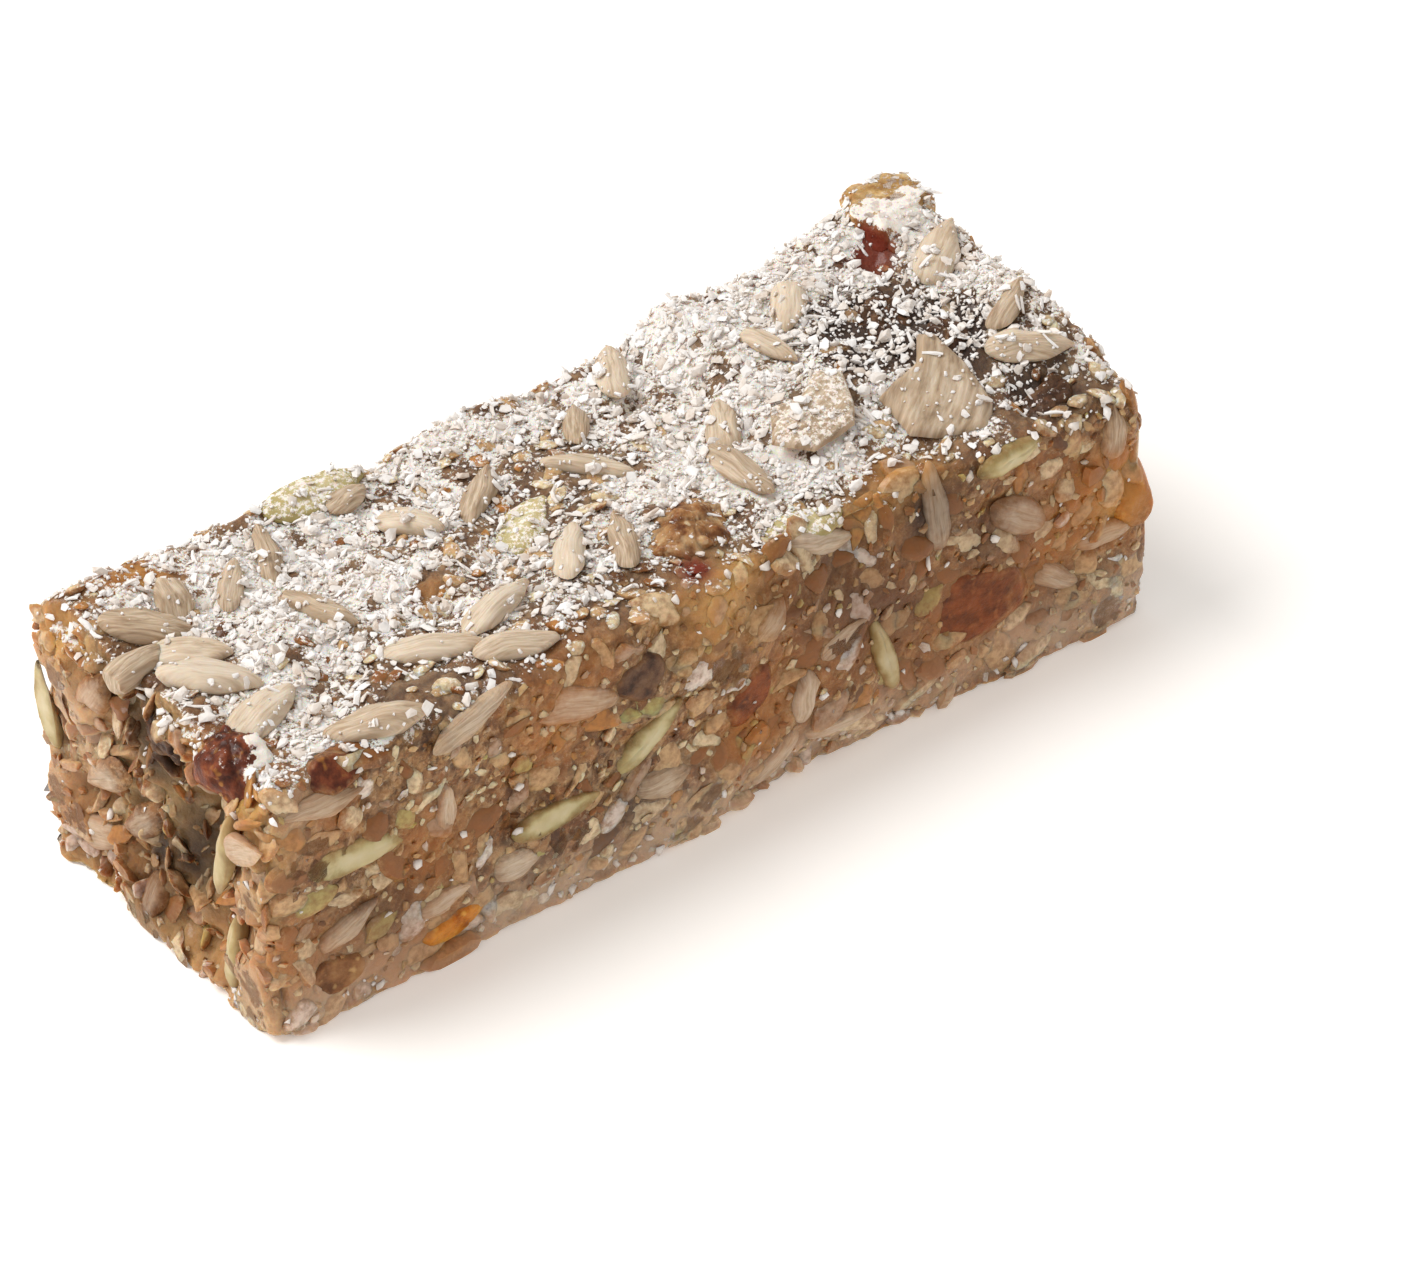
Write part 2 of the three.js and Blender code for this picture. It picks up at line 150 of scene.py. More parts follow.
# Seeds pressed in at random: how many on each face, and the room for them as half the span along u,
# and v from and to
FILL = {"top": 5, "front": 4, "back": 20, "left": 2, "right": 9}
ROOM = {
    "top": (46, -14, 13),
    "front": (46, 3.5, 23),
    "back": (46, 3.5, 23),
    "left": (14.5, 3.5, 22),
    "right": (14.5, 3.5, 23),
}
OVERHANG = 3  # how far the seeds may lie beyond that span
FILL_LENGTH = (6.5, 3.5)  # the least, and how much more at most
FILL_WIDTH = (2.8, 1.6)
SPACING = 0.3  # gap kept round a seed, and the same round a fruit
FRUIT_MARGIN = 0.8
MOST_TRIES = 4000
SEED_LAYOUT = 977  # picks the layout

# Dried fruit: face, u, v, turn, half length, half width, half depth, how far its centre is sunk
FRUIT = {
    "cranberry_corner": ("top", -46.4, -10, 80, 3.6, 3.1, 2.8, 1.4),
    "cranberry_edge": ("front", -41.5, 26.2, 0, 2.8, 1.8, 2, 1.2),
    "cherry": ("top", 2.5, -10, 20, 5, 3.8, 3, 2.2),
    "raisin_deck": ("top", 35, 3.5, 60, 5.2, 3.4, 2.6, 1.9),
    "raisin_deck_small": ("top", 37.8, -3.6, 65, 3.4, 2.4, 2.4, 1.6),
    "raisin_edge": ("top", 40.5, -14, 20, 4.4, 2.4, 2.6, 2.4),
    "peak_fruit": ("top", 44.2, 14, 35, 5.6, 4.2, 3.2, 2.7),
    "cherry_slice": ("front", 28, 10.5, -8, 7.2, 4.8, 3.4, 2.6),
    "cherry_strip": ("front", 2.5, 12.5, 80, 4.2, 3, 2.8, 2.1),
    "apricot_foot": ("front", -30.5, 3.4, 4, 4.6, 2, 2.6, 2),
    "fig_foot": ("front", -43, 4.6, 10, 3.4, 2.2, 2.6, 2),
    "raisin_slice": ("front", -9.5, 20.5, -20, 3.2, 2.4, 2.4, 1.8),
    "apricot_end": ("right", -15, 13.5, 85, 4, 3.4, 2.9, 2.1),
    "raisin_hollow": ("left", 0.5, 22.5, 15, 3.4, 2.6, 2.4, 1.4),
    "cranberry_end": ("right", 6, 17.5, 30, 4, 2.8, 2.6, 1.9),
    "raisin_end": ("right", 0, 6.5, -10, 3.6, 2.6, 2.6, 1.9),
    "apricot_back": ("back", -22, 12, 12, 6, 3.8, 3, 2.2),
    "raisin_back": ("back", 12, 17.5, -25, 4, 2.8, 2.6, 1.9),
    "cranberry_back": ("back", 36, 9, 60, 3.8, 2.8, 2.6, 1.9),
}


FACTOR = 48271  # of the generator of numbers
CYCLE = 2**31 - 1


def make_random(seed):
    """Gives the same run of numbers as the part's source does from the same seed."""
    state = seed

    def draw():
        nonlocal state
        state = state * FACTOR % CYCLE
        return state / CYCLE

    return draw


def ease(t):
    held = np.clip(t, 0, 1)
    return held * held * (3 - 2 * held)


def unit(vectors):
    return vectors / np.linalg.norm(vectors, axis=-1, keepdims=True)


def make_waves(count, shortest, longest, steepness, seed):
    """Ways, phases and heights of the waves that make the slab uneven."""
    draw = make_random(seed)
    ways, phases, heights = [], [], []
    for i in range(count):
        span = shortest + (longest - shortest) * i / count
        slant = 2 * draw() - 1
        bearing = 2 * math.pi * draw()
        flat = math.sqrt(1 - slant * slant)
        way = np.array([flat * math.cos(bearing), flat * math.sin(bearing), slant])
        ways.append(way * 2 * math.pi / span)
        phases.append(2 * math.pi * draw())
        heights.append(steepness * span)
    return np.array(ways), np.array(phases), np.array(heights)


WAVES = make_waves(count=14, shortest=5, longest=18, steepness=0.011, seed=4021)


def unevenness(points):
    ways, phases, heights = WAVES
    return np.sin(points @ ways.T + phases) @ heights


def swell(face, points):
    across, up, _ = FACES[face]
    u = points @ np.array(across)
    v = points @ np.array(up)
    height = np.zeros(len(points))
    for at_u, at_v, reach_u, reach_v, rise in SWELLS.get(face, []):
        height += rise * np.exp(-(((u - at_u) / reach_u) ** 2) - ((v - at_v) / reach_v) ** 2)
    if face == "top":
        height += LIFT * ease((u - LIFT_FROM[0]) / LIFT_RUN[0]) * ease((v - LIFT_FROM[1]) / LIFT_RUN[1])
    return height


def outward(points):
    """Outward directions of the rounded slab at points of the plain one, and the points rounded."""
    inner = np.clip(points, SLAB_LOW + EDGE, SLAB_HIGH - EDGE)
    out = unit(points - inner)
    return out, inner + out * EDGE


def skin(points):
    """Moves points of the plain slab to its uneven surface, as the part's source does."""
    out, moved = outward(points)
    broken = 1 + (ROUGHER - 1) * ease(-out[:, 0])
    rough = unevenness(moved) * broken * ease((moved[:, 2] + SINK) / EDGE)
    shift = out * rough[:, None]
    for face, (_, _, normal) in FACES.items():
        facing = np.clip(out @ np.array(normal), 0, None)
        shift += np.outer(facing * swell(face, moved), normal)
    return moved + shift


def on_slab(face, u, v):
    across, up, normal = (np.array(way, float) for way in FACES[face])
    return np.outer(u, across) + np.outer(v, up) + normal * SLAB_HIGH


def seat_of(face, u, v, turn, sunk):
    """Origin and axes of a piece on a face: z outwards and x along the turned u, on the slope."""
    felt = skin(on_slab(face, u + PROBE * np.array([0, 1, -1, 0, 0]), v + PROBE * np.array([0, 0, 0, 1, -1])))
    across = unit(felt[1] - felt[2])
    out = unit(np.cross(across, felt[3] - felt[4]))
    up = np.cross(out, across)
    angle = math.radians(turn)
    along = math.cos(angle) * across + math.sin(angle) * up
    aside = math.cos(angle) * up - math.sin(angle) * across
    return felt[0] - sunk * out, np.array([along, aside, out])


def circles_of(face, u, v, turn, long, wide):
    angle = math.radians(turn)
    reach = max(long - wide, 0)
    steps = (-reach, 0, reach)
    return [(face, u + s * math.cos(angle), v + s * math.sin(angle), wide) for s in steps]


def is_clear(circles, taken):
    for face, u, v, radius in circles:
        for other, at_u, at_v, room in taken:
            if face == other and math.hypot(u - at_u, v - at_v) <= radius + room:
                return False
    return True


def press_in(face, count, taken, draw):
    """Seeds added to a face wherever nothing else lies."""
    half_span, low, high = ROOM[face]
    seeds = []
    for _ in range(MOST_TRIES):
        if len(seeds) == count:
            break
        u = (2 * draw() - 1) * half_span
        v = low + draw() * (high - low)
        turn = 360 * draw()
        length = FILL_LENGTH[0] + FILL_LENGTH[1] * draw()
        width = FILL_WIDTH[0] + FILL_WIDTH[1] * draw()
        circles = circles_of(face, u, v, turn, length / 2, width / 2 + SPACING)
        is_inside = all(abs(circle[1]) + circle[3] < half_span + OVERHANG for circle in circles)
        if is_inside and is_clear(circles, taken):
            seeds.append((u, v, turn, length, width))
            taken.extend(circles)
    return seeds


def lay_out_fill():
    """The seeds that the part's source presses in at random, by face."""
    taken = []
    for table in (SUNFLOWERS, PUMPKINS, SHARDS):
        for face, seeds in table.items():
            for u, v, turn, length, width in seeds:
                taken += circles_of(face, u, v, turn, length / 2, width / 2)
    for face, u, v, turn, long, wide, _, _ in FRUIT.values():
        taken += circles_of(face, u, v, turn, long + FRUIT_MARGIN, wide + FRUIT_MARGIN)
    draw = make_random(SEED_LAYOUT)
    return {face: press_in(face, count, taken, draw) for face, count in FILL.items()}


# --- materials

POWDER = "efe5da"
# the dark murk stain is partly the mash's own dark syrup and raisin, partly painted shade in hollows and gaps
STAINS = {"pale": "d2b296", "amber": "a8672b", "gold": "c8924c", "murk_and_shade": "35261f", "red": "742b19"}

NOISE_SPAN = (0.3, 0.7)  # from where to where noise mostly runs

# Tones of the sticky mash along noise, and those of the others along values from 0 to 1
MASH_TONES = [(0.33, "45301f"), (0.41, "6a472a"), (0.49, "8b613b"), (0.57, "ae865a"), (0.66, "ccae88")]
SUNFLOWER_TONES = [(0, "8a7259"), (0.3, "b59e84"), (0.6, "d2bfa7"), (1, "e2d4c0")]
PUMPKIN_TONES = [(0, "d3c7a3"), (0.5, "c9bb91"), (0.8, "a89a68"), (1, "87794c")]
COCONUT_TONES = [(0, "d0bfb0"), (0.15, "e2d7cc"), (0.4, "f0e8e1"), (1, "faf6f2")]

# Tones of the pressed-in chips and crumbs, and how often each comes in the sides, in the broken end, on
# the top and at the foot
CRUMB_TONES = {
    "e2caa4": (26, 34, 34, 40),
    "c8a377": (28, 34, 30, 20),
    "8a5830": (18, 10, 14, 5),
    "b57c42": (6, 8, 5, 4),
    "b3a265": (4, 3, 2, 2),
    "543724": (7, 2, 8, 2),
    "b0937a": (9, 8, 7, 5),
    "e8d6c8": (5, 1, 0, 40),
}
SIDE, TORN, TOP, AT_FOOT = range(4)  # places in those rows

# Finish of what is sticky: the coat gives it small glints
WET = {"Roughness": 0.45, "Specular_IOR_Level": 0.1, "Coat_Weight": 0.25, "Coat_Roughness": 0.12}
SKIN_FINISH = {"Specular_IOR_Level": 0.1, "Coat_Weight": 0.15, "Coat_Roughness": 0.12}
DRY = {"Specular_IOR_Level": 0.15}

FINE = {"detail": 3, "roughness": 0.6}  # kinds of noise
GRITTY = {"detail": 3, "roughness": 0.7}
FIBRES = (0.35, 3.2, 1)  # stretches noise along a kernel
WARM = (1, 0.5, 0.25)  # how far red, green and blue light go in the mash
NEUTRAL = (1, 0.95, 0.9)


def colour_of(code):
    """Linear red, green, blue and alpha of a colour written as six hexadecimal digits."""
    parts = [int(code[i : i + 2], 16) / 255 for i in (0, 2, 4)]
    linear = [c / 12.92 if c <= 0.04045 else ((c + 0.055) / 1.055) ** 2.4 for c in parts]
    return (*linear, 1)


class Look:
    """A material with one Principled shader, and short ways to wire nodes to it."""

    def __init__(self, name, **sockets):
        self.material = bpy.data.materials.new(name)
        self.material.use_nodes = True
        self.tree = self.material.node_tree
        self.shader = self.tree.nodes["Principled BSDF"]
        self.place = self.node("ShaderNodeTexCoord").outputs["Object"]
        self.give(**sockets)

    def feed(self, socket, value):
        if isinstance(value, bpy.types.NodeSocket):
            self.tree.links.new(value, socket)
        else:
            socket.default_value = value

    def give(self, **sockets):
        """Feeds the shader's sockets, whose names have _ for a space here."""
        for name, value in sockets.items():
            self.feed(self.shader.inputs[name.replace("_", " ")], value)

    def node(self, kind, inputs=(), **settings):
        """Adds a node; inputs say what each of its sockets is fed."""
        made = self.tree.nodes.new(kind)
        for name, value in settings.items():
            setattr(made, name, value)
        for socket, value in dict(inputs).items():
            self.feed(made.inputs[socket], value)
        return made

    def layer(self, name, output="Fac"):
        return self.node("ShaderNodeAttribute", attribute_name=name).outputs[output]

    def noise(self, span, detail=2, roughness=0.5, at=None):
        """Noise from 0 to 1 whose patches are about span millimetres wide."""
        scale = 1 / span if at else 1 / (span * MM)
        inputs = {"Vector": at or self.place, "Scale": scale, "Detail": detail, "Roughness": roughness}
        return self.node("ShaderNodeTexNoise", inputs).outputs["Fac"]

    def maths(self, operation, first, second):
        made = self.node("ShaderNodeMath", {0: first, 1: second}, operation=operation, use_clamp=True)
        return made.outputs[0]

    def plus(self, first, second):
        return self.maths("ADD", first, second)

    def times(self, first, second):
        return self.maths("MULTIPLY", first, second)

    def z_of(self, vector):
        return self.node("ShaderNodeSeparateXYZ", {0: vector}).outputs["Z"]

    def upward(self):
        """How far the surface faces up: 1 on the flat and 0 on a wall."""
        return self.z_of(self.node("ShaderNodeNewGeometry").outputs["Normal"])

    def fit(self, value, low, high, to_low=0.0, to_high=1.0):
        """Stretches the range from low to high over the range asked for, and holds it there."""
        inputs = {"Value": value, "From Min": low, "From Max": high, "To Min": to_low, "To Max": to_high}
        return self.node("ShaderNodeMapRange", inputs, clamp=True).outputs["Result"]

    def ragged(self, value, mottle, amount):
        """Makes a value uneven by noise, up to the amount either way."""
        return self.plus(value, self.fit(mottle, *NOISE_SPAN, -amount, amount))

    def ramp(self, value, stops, stepped=False):
        made = self.node("ShaderNodeValToRGB", {"Fac": value})
        made.color_ramp.interpolation = "CONSTANT" if stepped else "LINEAR"
        elements = made.color_ramp.elements
        while len(elements) < len(stops):
            elements.new(0.5)
        for element, (position, code) in zip(elements, stops):
            element.position = position
            element.color = colour_of(code)
        return made.outputs["Color"]

    def mix(self, amount, low, high):
        """Goes from the colour low to the colour high as the amount goes from 0 to 1."""
        low, high = (colour_of(colour) if isinstance(colour, str) else colour for colour in (low, high))
        inputs = {"Factor": amount, "A": low, "B": high}
        return self.node("ShaderNodeMix", inputs, data_type="RGBA").outputs["Result"]

    def tone(self, colour, toned, most, value, low, high):
        """Mixes in another colour, from none of it where the value is low to most where it is high."""
        return self.mix(self.fit(value, low, high, 0, most), colour, toned)

    def stained(self, colour, strength):
        """Stained as the layers of the stains' names say."""
        for layer, stain_colour in STAINS.items():
            colour = self.mix(self.times(self.layer(layer), strength), colour, stain_colour)
        return colour

    def matrix(self):
        """Colour of the sticky mash, which the rims of what is pressed into it take on too."""
        return self.stained(mash_tones(self), 0.85)

    def dusted(self, colour):
        """Coconut powder on what faces up, more of it where the layer "dust" goes from 0 to 1. Above 1,
        powder clings to steep sides too."""
        amount = self.layer("dust")
        facing = self.fit(self.upward(), 0.15, 0.75, 0, 0.5)
        cover = self.plus(self.noise(0.6, detail=4, roughness=0.75), self.times(facing, amount))
        cover = self.plus(cover, self.fit(amount, 1, 2, 0, 0.6))
        return self.mix(self.fit(cover, 0.72, 0.82), colour, POWDER)

    def finish(self, colour, height, depth, weight, reach, tint=WARM):
        """Paints the shader, with bumps of a depth, and lets light soak in to a reach, both in
        millimetres."""
        bump = self.node("ShaderNodeBump", {"Distance": depth * MM, "Height": height})
        self.give(Base_Color=colour, Normal=bump.outputs["Normal"])
        self.give(Subsurface_Weight=weight, Subsurface_Radius=tint, Subsurface_Scale=reach * MM)
        return self.material


def mash_tones(look):
    colour = look.ramp(look.noise(2.6, detail=6, roughness=0.72), MASH_TONES)
    colour = look.tone(colour, "8c542a", 0.5, look.noise(4), 0.5, 0.62)
    colour = look.tone(colour, "d2b48e", 0.45, look.noise(0.5, **GRITTY), 0.54, 0.66)
    return look.tone(colour, "3d2618", 0.7, look.noise(0.7, **GRITTY), 0.46, 0.36)


def mash_look():
    look = Look("seed_mash", **WET)
    colour = look.tone(mash_tones(look), "ccaa80", 0.55, look.layer("grain"), 0.55, 1)
    # darker along the seams between the lumps: painted shade in the creases
    colour = look.tone(colour, "342013", 0.75, look.layer("seam"), 0.18, 0)
    # darker and greyer where the mash faces up: painted shade in the gaps between the coconut on top
    colour = look.tone(colour, "6b5342", 0.6, look.upward(), 0.4, 0.9)
    colour = look.tone(colour, "d0ab74", 0.5, look.layer("torn"), 0, 1)
    return look.finish(look.dusted(look.stained(colour, 0.9)), look.noise(0.5, **FINE), 0.2, 0.6, 2)


def sunflower_look():
    look = Look("sunflower_seed", Roughness=0.5, **DRY)
    local = look.layer("local", "Vector")
    stretched = look.node("ShaderNodeMapping", {"Vector": local, "Scale": FIBRES})
    streak = look.noise(0.5, at=stretched.outputs["Vector"], **FINE)
    paleness = look.plus(look.fit(streak, 0.3, 0.72, 0, 0.6), look.times(look.layer("tint"), 0.4))
    colour = look.ramp(paleness, SUNFLOWER_TONES)
    colour = look.tone(colour, "b08c64", 0.2, look.noise(3), 0.5, 0.75)
    edge = look.ragged(look.z_of(local), look.noise(0.8), 0.15)
    coat = look.layer("coat")
    soaked = look.times(look.fit(edge, 0.4, 1, 0.25, 1.2), coat)
    colour = look.mix(soaked, look.stained(colour, look.times(coat, 0.6)), look.matrix())
    return look.finish(look.dusted(colour), streak, 0.1, 0.4, 1)


def pumpkin_look():
    look = Look("pumpkin_seed", Roughness=0.42, **DRY)
    mottle = look.noise(1.4, detail=3)
    rim = look.ragged(look.z_of(look.layer("local", "Vector")), mottle, 0.2)
    colour = look.ramp(rim, PUMPKIN_TONES)
    colour = look.tone(colour, "bfae78", 0.5, look.layer("dust"), 0.1, 0.3)
    colour = look.tone(colour, "ae9d63", 0.4, look.noise(2.5), 0.45, 0.7)
    soaked = look.times(look.fit(rim, 0.6, 1.1, 0.1, 1), look.layer("coat"))
    colour = look.mix(soaked, look.stained(colour, 0.25), look.matrix())
    return look.finish(look.dusted(colour), mottle, 0.08, 0.4, 1.2)


def crumb_look():
    look = Look("seed_crumb", **WET)
    stops = [(i / len(CRUMB_TONES), code) for i, code in enumerate(CRUMB_TONES)]
    colour = look.stained(look.ramp(look.layer("tint"), stops, stepped=True), 0.5)
    mottle = look.noise(0.7, **FINE)
    colour = look.tone(colour, "7c5330", 0.65, mottle, 0.4, 0.7)
    colour = look.tone(colour, look.matrix(), 1, look.ragged(look.layer("rim"), mottle, 0.25), 0.3, 1)
    colour = look.mix(look.layer("red"), colour, STAINS["red"])
    return look.finish(look.dusted(colour), mottle, 0.1, 0.5, 1.4)


def coconut_look():
    look = Look("coconut", Roughness=0.6, **DRY)
    paleness = look.plus(look.times(look.layer("tint"), 0.8), look.fit(look.noise(0.9), 0.4, 0.7, 0, 0.2))
    return look.finish(look.ramp(paleness, COCONUT_TONES), look.noise(0.3), 0.05, 0.4, 0.4, NEUTRAL)


def fruit_look(name, tones, fleck, roughness, depth):
    """Skin of dried fruit, darker in its folds as painted shade, which runs into the mash at a cut rim;
    fleck is the colour that shines through in spots."""
    look = Look(name, Roughness=roughness, **SKIN_FINISH)
    colour = look.ramp(look.noise(1.6, detail=4, roughness=0.6), list(zip((0.3, 0.45, 0.58, 0.72), tones)))
    colour = look.tone(colour, fleck, 0.7, look.noise(1, detail=1), 0.62, 0.75)
    # painted shade: darker down in the folds
    colour = look.tone(colour, tones[0], 0.65, look.layer("fold"), 0.3, 1)
    colour = look.mix(look.layer("red"), colour, STAINS["red"])
    rim = look.ragged(look.layer("rim"), look.noise(1.5), 0.3)
    colour = look.tone(colour, look.matrix(), 1, rim, 0.4, 0.95)
    return look.finish(look.dusted(colour), look.noise(0.6, **FINE), 0.2, 0.5, depth)


# Each fruit's four tones, fleck, roughness and how deep light goes
FRUIT_LOOKS = {
    "cut_raisin": (("3f2a1e", "5a3e2c", "6f5039", "84644a"), "7a5638", 0.5, 0.8),
    "cut_cherry": (("48200c", "6e3816", "80421c", "904f26"), "9a5a2e", 0.4, 2),
    "cranberry": (("3a1c12", "5c2c1b", "7c4026", "975a34"), "b07838", 0.5, 1.5),
    "cherry": (("5a3018", "94663c", "b48c60", "ccae84"), "dcc49c", 0.4, 1),
    "raisin": (("331f14", "4c3324", "63462f", "7a5b3f"), "704a2e", 0.5, 0.8),
    "peak": (("8a6034", "b08850", "c8a26c", "dcc49c"), "e0c498", 0.45, 1),
    "apricot": (("96500f", "be7020", "d28636", "dc9c4c"), "e0a850", 0.4, 3),
    "fig": (("5d3a20", "7c5130", "94663f", "a67c50"), "c9a26a", 0.45, 1.5),
}


# --- stains

# Soft stains in the bar, the dark ones partly painted shade: x, y, z, reach, amount
SPOTS = {
    "pale": [
        (-44, -18, 1.5, 4.5, 0.9), (-36, -18, 1, 3.5, 0.6), (-26, -18, 1.5, 4.5, 0.9),
        (-18, -18, 1.5, 4, 0.8), (-8, -18, 1.5, 5, 0.9), (1, -18, 1.5, 4, 0.8), (9, -18, 1.5, 4.5, 0.9),
        (18, -18, 2, 4, 0.8), (26, -18, 2, 4, 0.7), (33, -18, 4, 3, 0.8), (39, -18, 3, 4, 0.9),
        (-37, -18, 3, 4, 0.6), (0, -18, 24, 3, 0.6), (-46, -18, 24, 3, 0.5), (-49, -10, 14, 4, 0.6),
        (47, -18, 3, 3.5, 0.8), (-49, -14, 20, 4, 0.5), (-49, -14, 6, 5, 0.6), (-49, 12, 18, 5, 0.7),
        (-49, 15, 10, 5, 0.4), (-49, 8, 6, 4, 0.2), (-49, 17, 22, 4, 0.6), (49, 10, 4, 5, 0.5),
        (-20, 18, 3, 5, 0.5), (20, 18, 3, 5, 0.5),
    ],
    "amber": [
        (-20, -18, 20, 5, 0.7), (-33, -18, 14, 4.5, 0.7), (-43, -18, 22, 4, 0.6), (-48, -18, 8, 5, 0.7),
        (-15, -18, 24, 5, 0.5), (-2, -18, 22, 4, 0.6), (7, -18, 22, 4, 0.5), (28, -18, 11, 9, 0.6),
        (4, -18, 8, 5, 0.6), (22, -16, 25, 4, 0.5), (-36, -18, 4, 7, 0.6), (47, -18, 16, 5, 1.2),
        (43, -18, 18, 3, 0.8), (36, -18, 20, 5, 0.5), (38, -18, 10, 5, 0.45), (15, -18, 15, 7, 0.8),
        (39, -18, 13.5, 4, 0.5), (1, -18, 8, 3, 0.5), (4, -18, 14, 5, 0.3), (-49, -8, 22, 5, 1),
        (-49, -13, 12, 4, 0.6), (-49, -12, 24, 4, 0.6), (-49, 16, 24, 4, 0.7), (-49, 8, 22, 4, 0.5),
        (-49, 13, 6, 6, 0.8), (-49, 3, 5, 5, 0.6), (-49, -8, 3, 5, 0.5), (49, 8, 12, 6, 0.6),
        (49, -6, 20, 5, 0.5), (-35, 18, 10, 7, 0.6), (-5, 18, 16, 7, 0.6), (25, 18, 12, 7, 0.6),
        (-41, 14, 28, 4, 0.8), (-21, -3, 27, 2, 0.6),
    ],
    "gold": [
        (-49, -14.5, 24.5, 2.5, 0.9), (-48.5, -17, 20, 2.5, 0.5), (-49, 14, 25, 2.5, 0.7),
        (0, -18, 24, 4, 0.8), (-6, -18, 26.5, 2.5, 0.6), (3.5, -17, 27.5, 3, 0.8),
        (16.5, -17, 27, 3, 0.7), (23, -16, 27.5, 3.5, 0.9), (46, -18, 14.5, 3, 0.7),
        (-21, -3, 27.5, 1.5, 0.8), (-40.5, 14, 28, 2.5, 0.5), (-30, 18, 22, 4, 0.6), (10, 18, 6, 4, 0.6),
        (49, 4, 22, 3, 0.6),
    ],
    # Partly dark syrup and raisin, partly painted shade: in the hollow of the broken end and in the gap under
    # the kernel by the raisin edge
    "murk_and_shade": [
        (24, -18, 23, 3, 1.3), (12, -17.5, 20, 7, 0.5), (33, -18, 17, 6, 0.4), (-8, -18, 22, 4, 0.15),
        (-37, -18, 8, 4, 0.5), (-47, -4, 12.5, 4, 0.95), (-48.5, -1, 22, 3.5, 0.7),
        (-48, 6, 25, 2.5, 0.8), (-48.5, 1, 21, 4, 0.8), (-47, 1.5, 8.5, 3.2, 0.9),
        (-48, -3.5, 9, 2, 0.7), (-49, 2, 3, 4, 0.6), (40, -12, 27, 3, 0.5), (-20, 18, 18, 6, 0.4),
        (40, 18, 14, 6, 0.4), (49, 0, 8, 5, 0.5), (33.5, 2.5, 29, 6, 1.4), (38, -3, 29, 5, 1.4),
        (29, -1, 29, 3.5, 1), (41, -14, 27, 3.5, 0.8), (-41, -18, 26, 3, 0.2), (17, -18, 15, 5, 0.5),
        (-42, -18, 12, 4, 0.25), (-11, -18, 7, 3, 0.7), (-49, 11, 4, 5, 0.3), (21, -18, 13, 4, 0.35),
        (-26, -18, 5, 3, 0.3), (39, -18, 7, 4, 0.3), (29.5, -18, 17, 3, 0.4),
    ],
    "red": [
        (-0.6, -14.4, 26.8, 1.6, 1.8), (3.5, -12.5, 28, 1, 0.7), (39.5, 10.3, 30.4, 2.3, 1.6),
        (40.6, 12.6, 31.6, 1.1, 0.6),
    ],
}


def stain(points, spots):
    amount = np.zeros(len(points))
    for x, y, z, reach, most in spots:
        away = np.linalg.norm(points - np.array([x, y, z]), axis=1) / reach
        amount += most * np.exp(-(away**2))
    return np.clip(amount, 0, 1)


# --- making meshes


def place_object(name, data):
    made = bpy.data.objects.new(name, data)
    bpy.context.scene.collection.objects.link(made)
    return made


def keep_layer(mesh, name, values):
    """Keeps a value or a vector at each point of a mesh, for its material."""
    is_vector = values.ndim == 2
    kept = mesh.attributes.new(name, "FLOAT_VECTOR" if is_vector else "FLOAT", "POINT")
    kept.data.foreach_set("vector" if is_vector else "value", values.ravel())


def make_piece(name, points, faces, material, slot, replaced=None, smooth=True, crisp=None, **layers):
    """Makes one object of triangles; layers are values kept at each point for its material, and crisp
    is how far two triangles must turn from each other, in degrees, for their edge to show."""
    mesh = bpy.data.meshes.new(name)
    mesh.from_pydata((np.clip(points, BOX_LOW, BOX_HIGH) * MM).tolist(), [], faces.tolist())
    mesh.polygons.foreach_set("use_smooth", np.full(len(faces), smooth))
    for layer, values in layers.items():
        keep_layer(mesh, layer, values)
    for layer, spots in SPOTS.items():
        keep_layer(mesh, layer, stain(points, spots))
    if crisp:
        mesh.set_sharp_from_angle(angle=math.radians(crisp))
    mesh.materials.append(material)
    piece = place_object(name, mesh)
    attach(piece, "root")
    if replaced:
        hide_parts(replaced)


class Heap:
    """Points, triangles and layers gathered from many small shapes."""

    def __init__(self):
        self.points = []
        self.faces = []
        self.layers = {}
        self.count = 0

    def add(self, points, faces, **layers):
        self.points.append(points)
        self.faces.append(faces + self.count)
        self.count += len(points)
        for name, values in layers.items():
            self.layers.setdefault(name, []).append(values)

    def joined(self):
        layers = {name: np.concatenate(parts) for name, parts in self.layers.items()}
        return np.concatenate(self.points), np.concatenate(self.faces), layers

    def make(self, name, material, slot, **options):
        points, faces, layers = self.joined()
        make_piece(name, points, faces, material, slot, **options, **layers)


FAR = 80  # well outside the bar


class Ground:
    """What crumbs and coconut land on."""

    def __init__(self):
        self.heap = Heap()
        self.kinds = []

    def add(self, points, faces, kind):
        self.heap.add(points, faces)
        self.kinds += [kind] * len(faces)

    def settle(self):
        """Lets what was added since the last time be landed on too."""
        points, faces, _ = self.heap.joined()
        self.tree = BVHTree.FromPolygons(points.tolist(), faces.tolist(), all_triangles=True)

    def land(self, face, u, v):
        """Where a grain aimed at u and v of a face comes to lie: point, normal and kind of ground."""
        across, up, normal = (Vector(way) for way in FACES[face])
        start = across * u + up * v + normal * FAR
        point, slope, index, _ = self.tree.ray_cast(start, -normal)
        if point is None:
            return None
        return point, slope, self.kinds[index]


ground = Ground()


def ball(subdivisions):
    """Points and triangles of a ball of radius 1."""
    shape = bmesh.new()
    bmesh.ops.create_icosphere(shape, subdivisions=subdivisions, radius=1)
    points = np.array([vertex.co[:] for vertex in shape.verts])
    faces = np.array([[vertex.index for vertex in face.verts] for face in shape.faces])
    shape.free()
    return points, faces


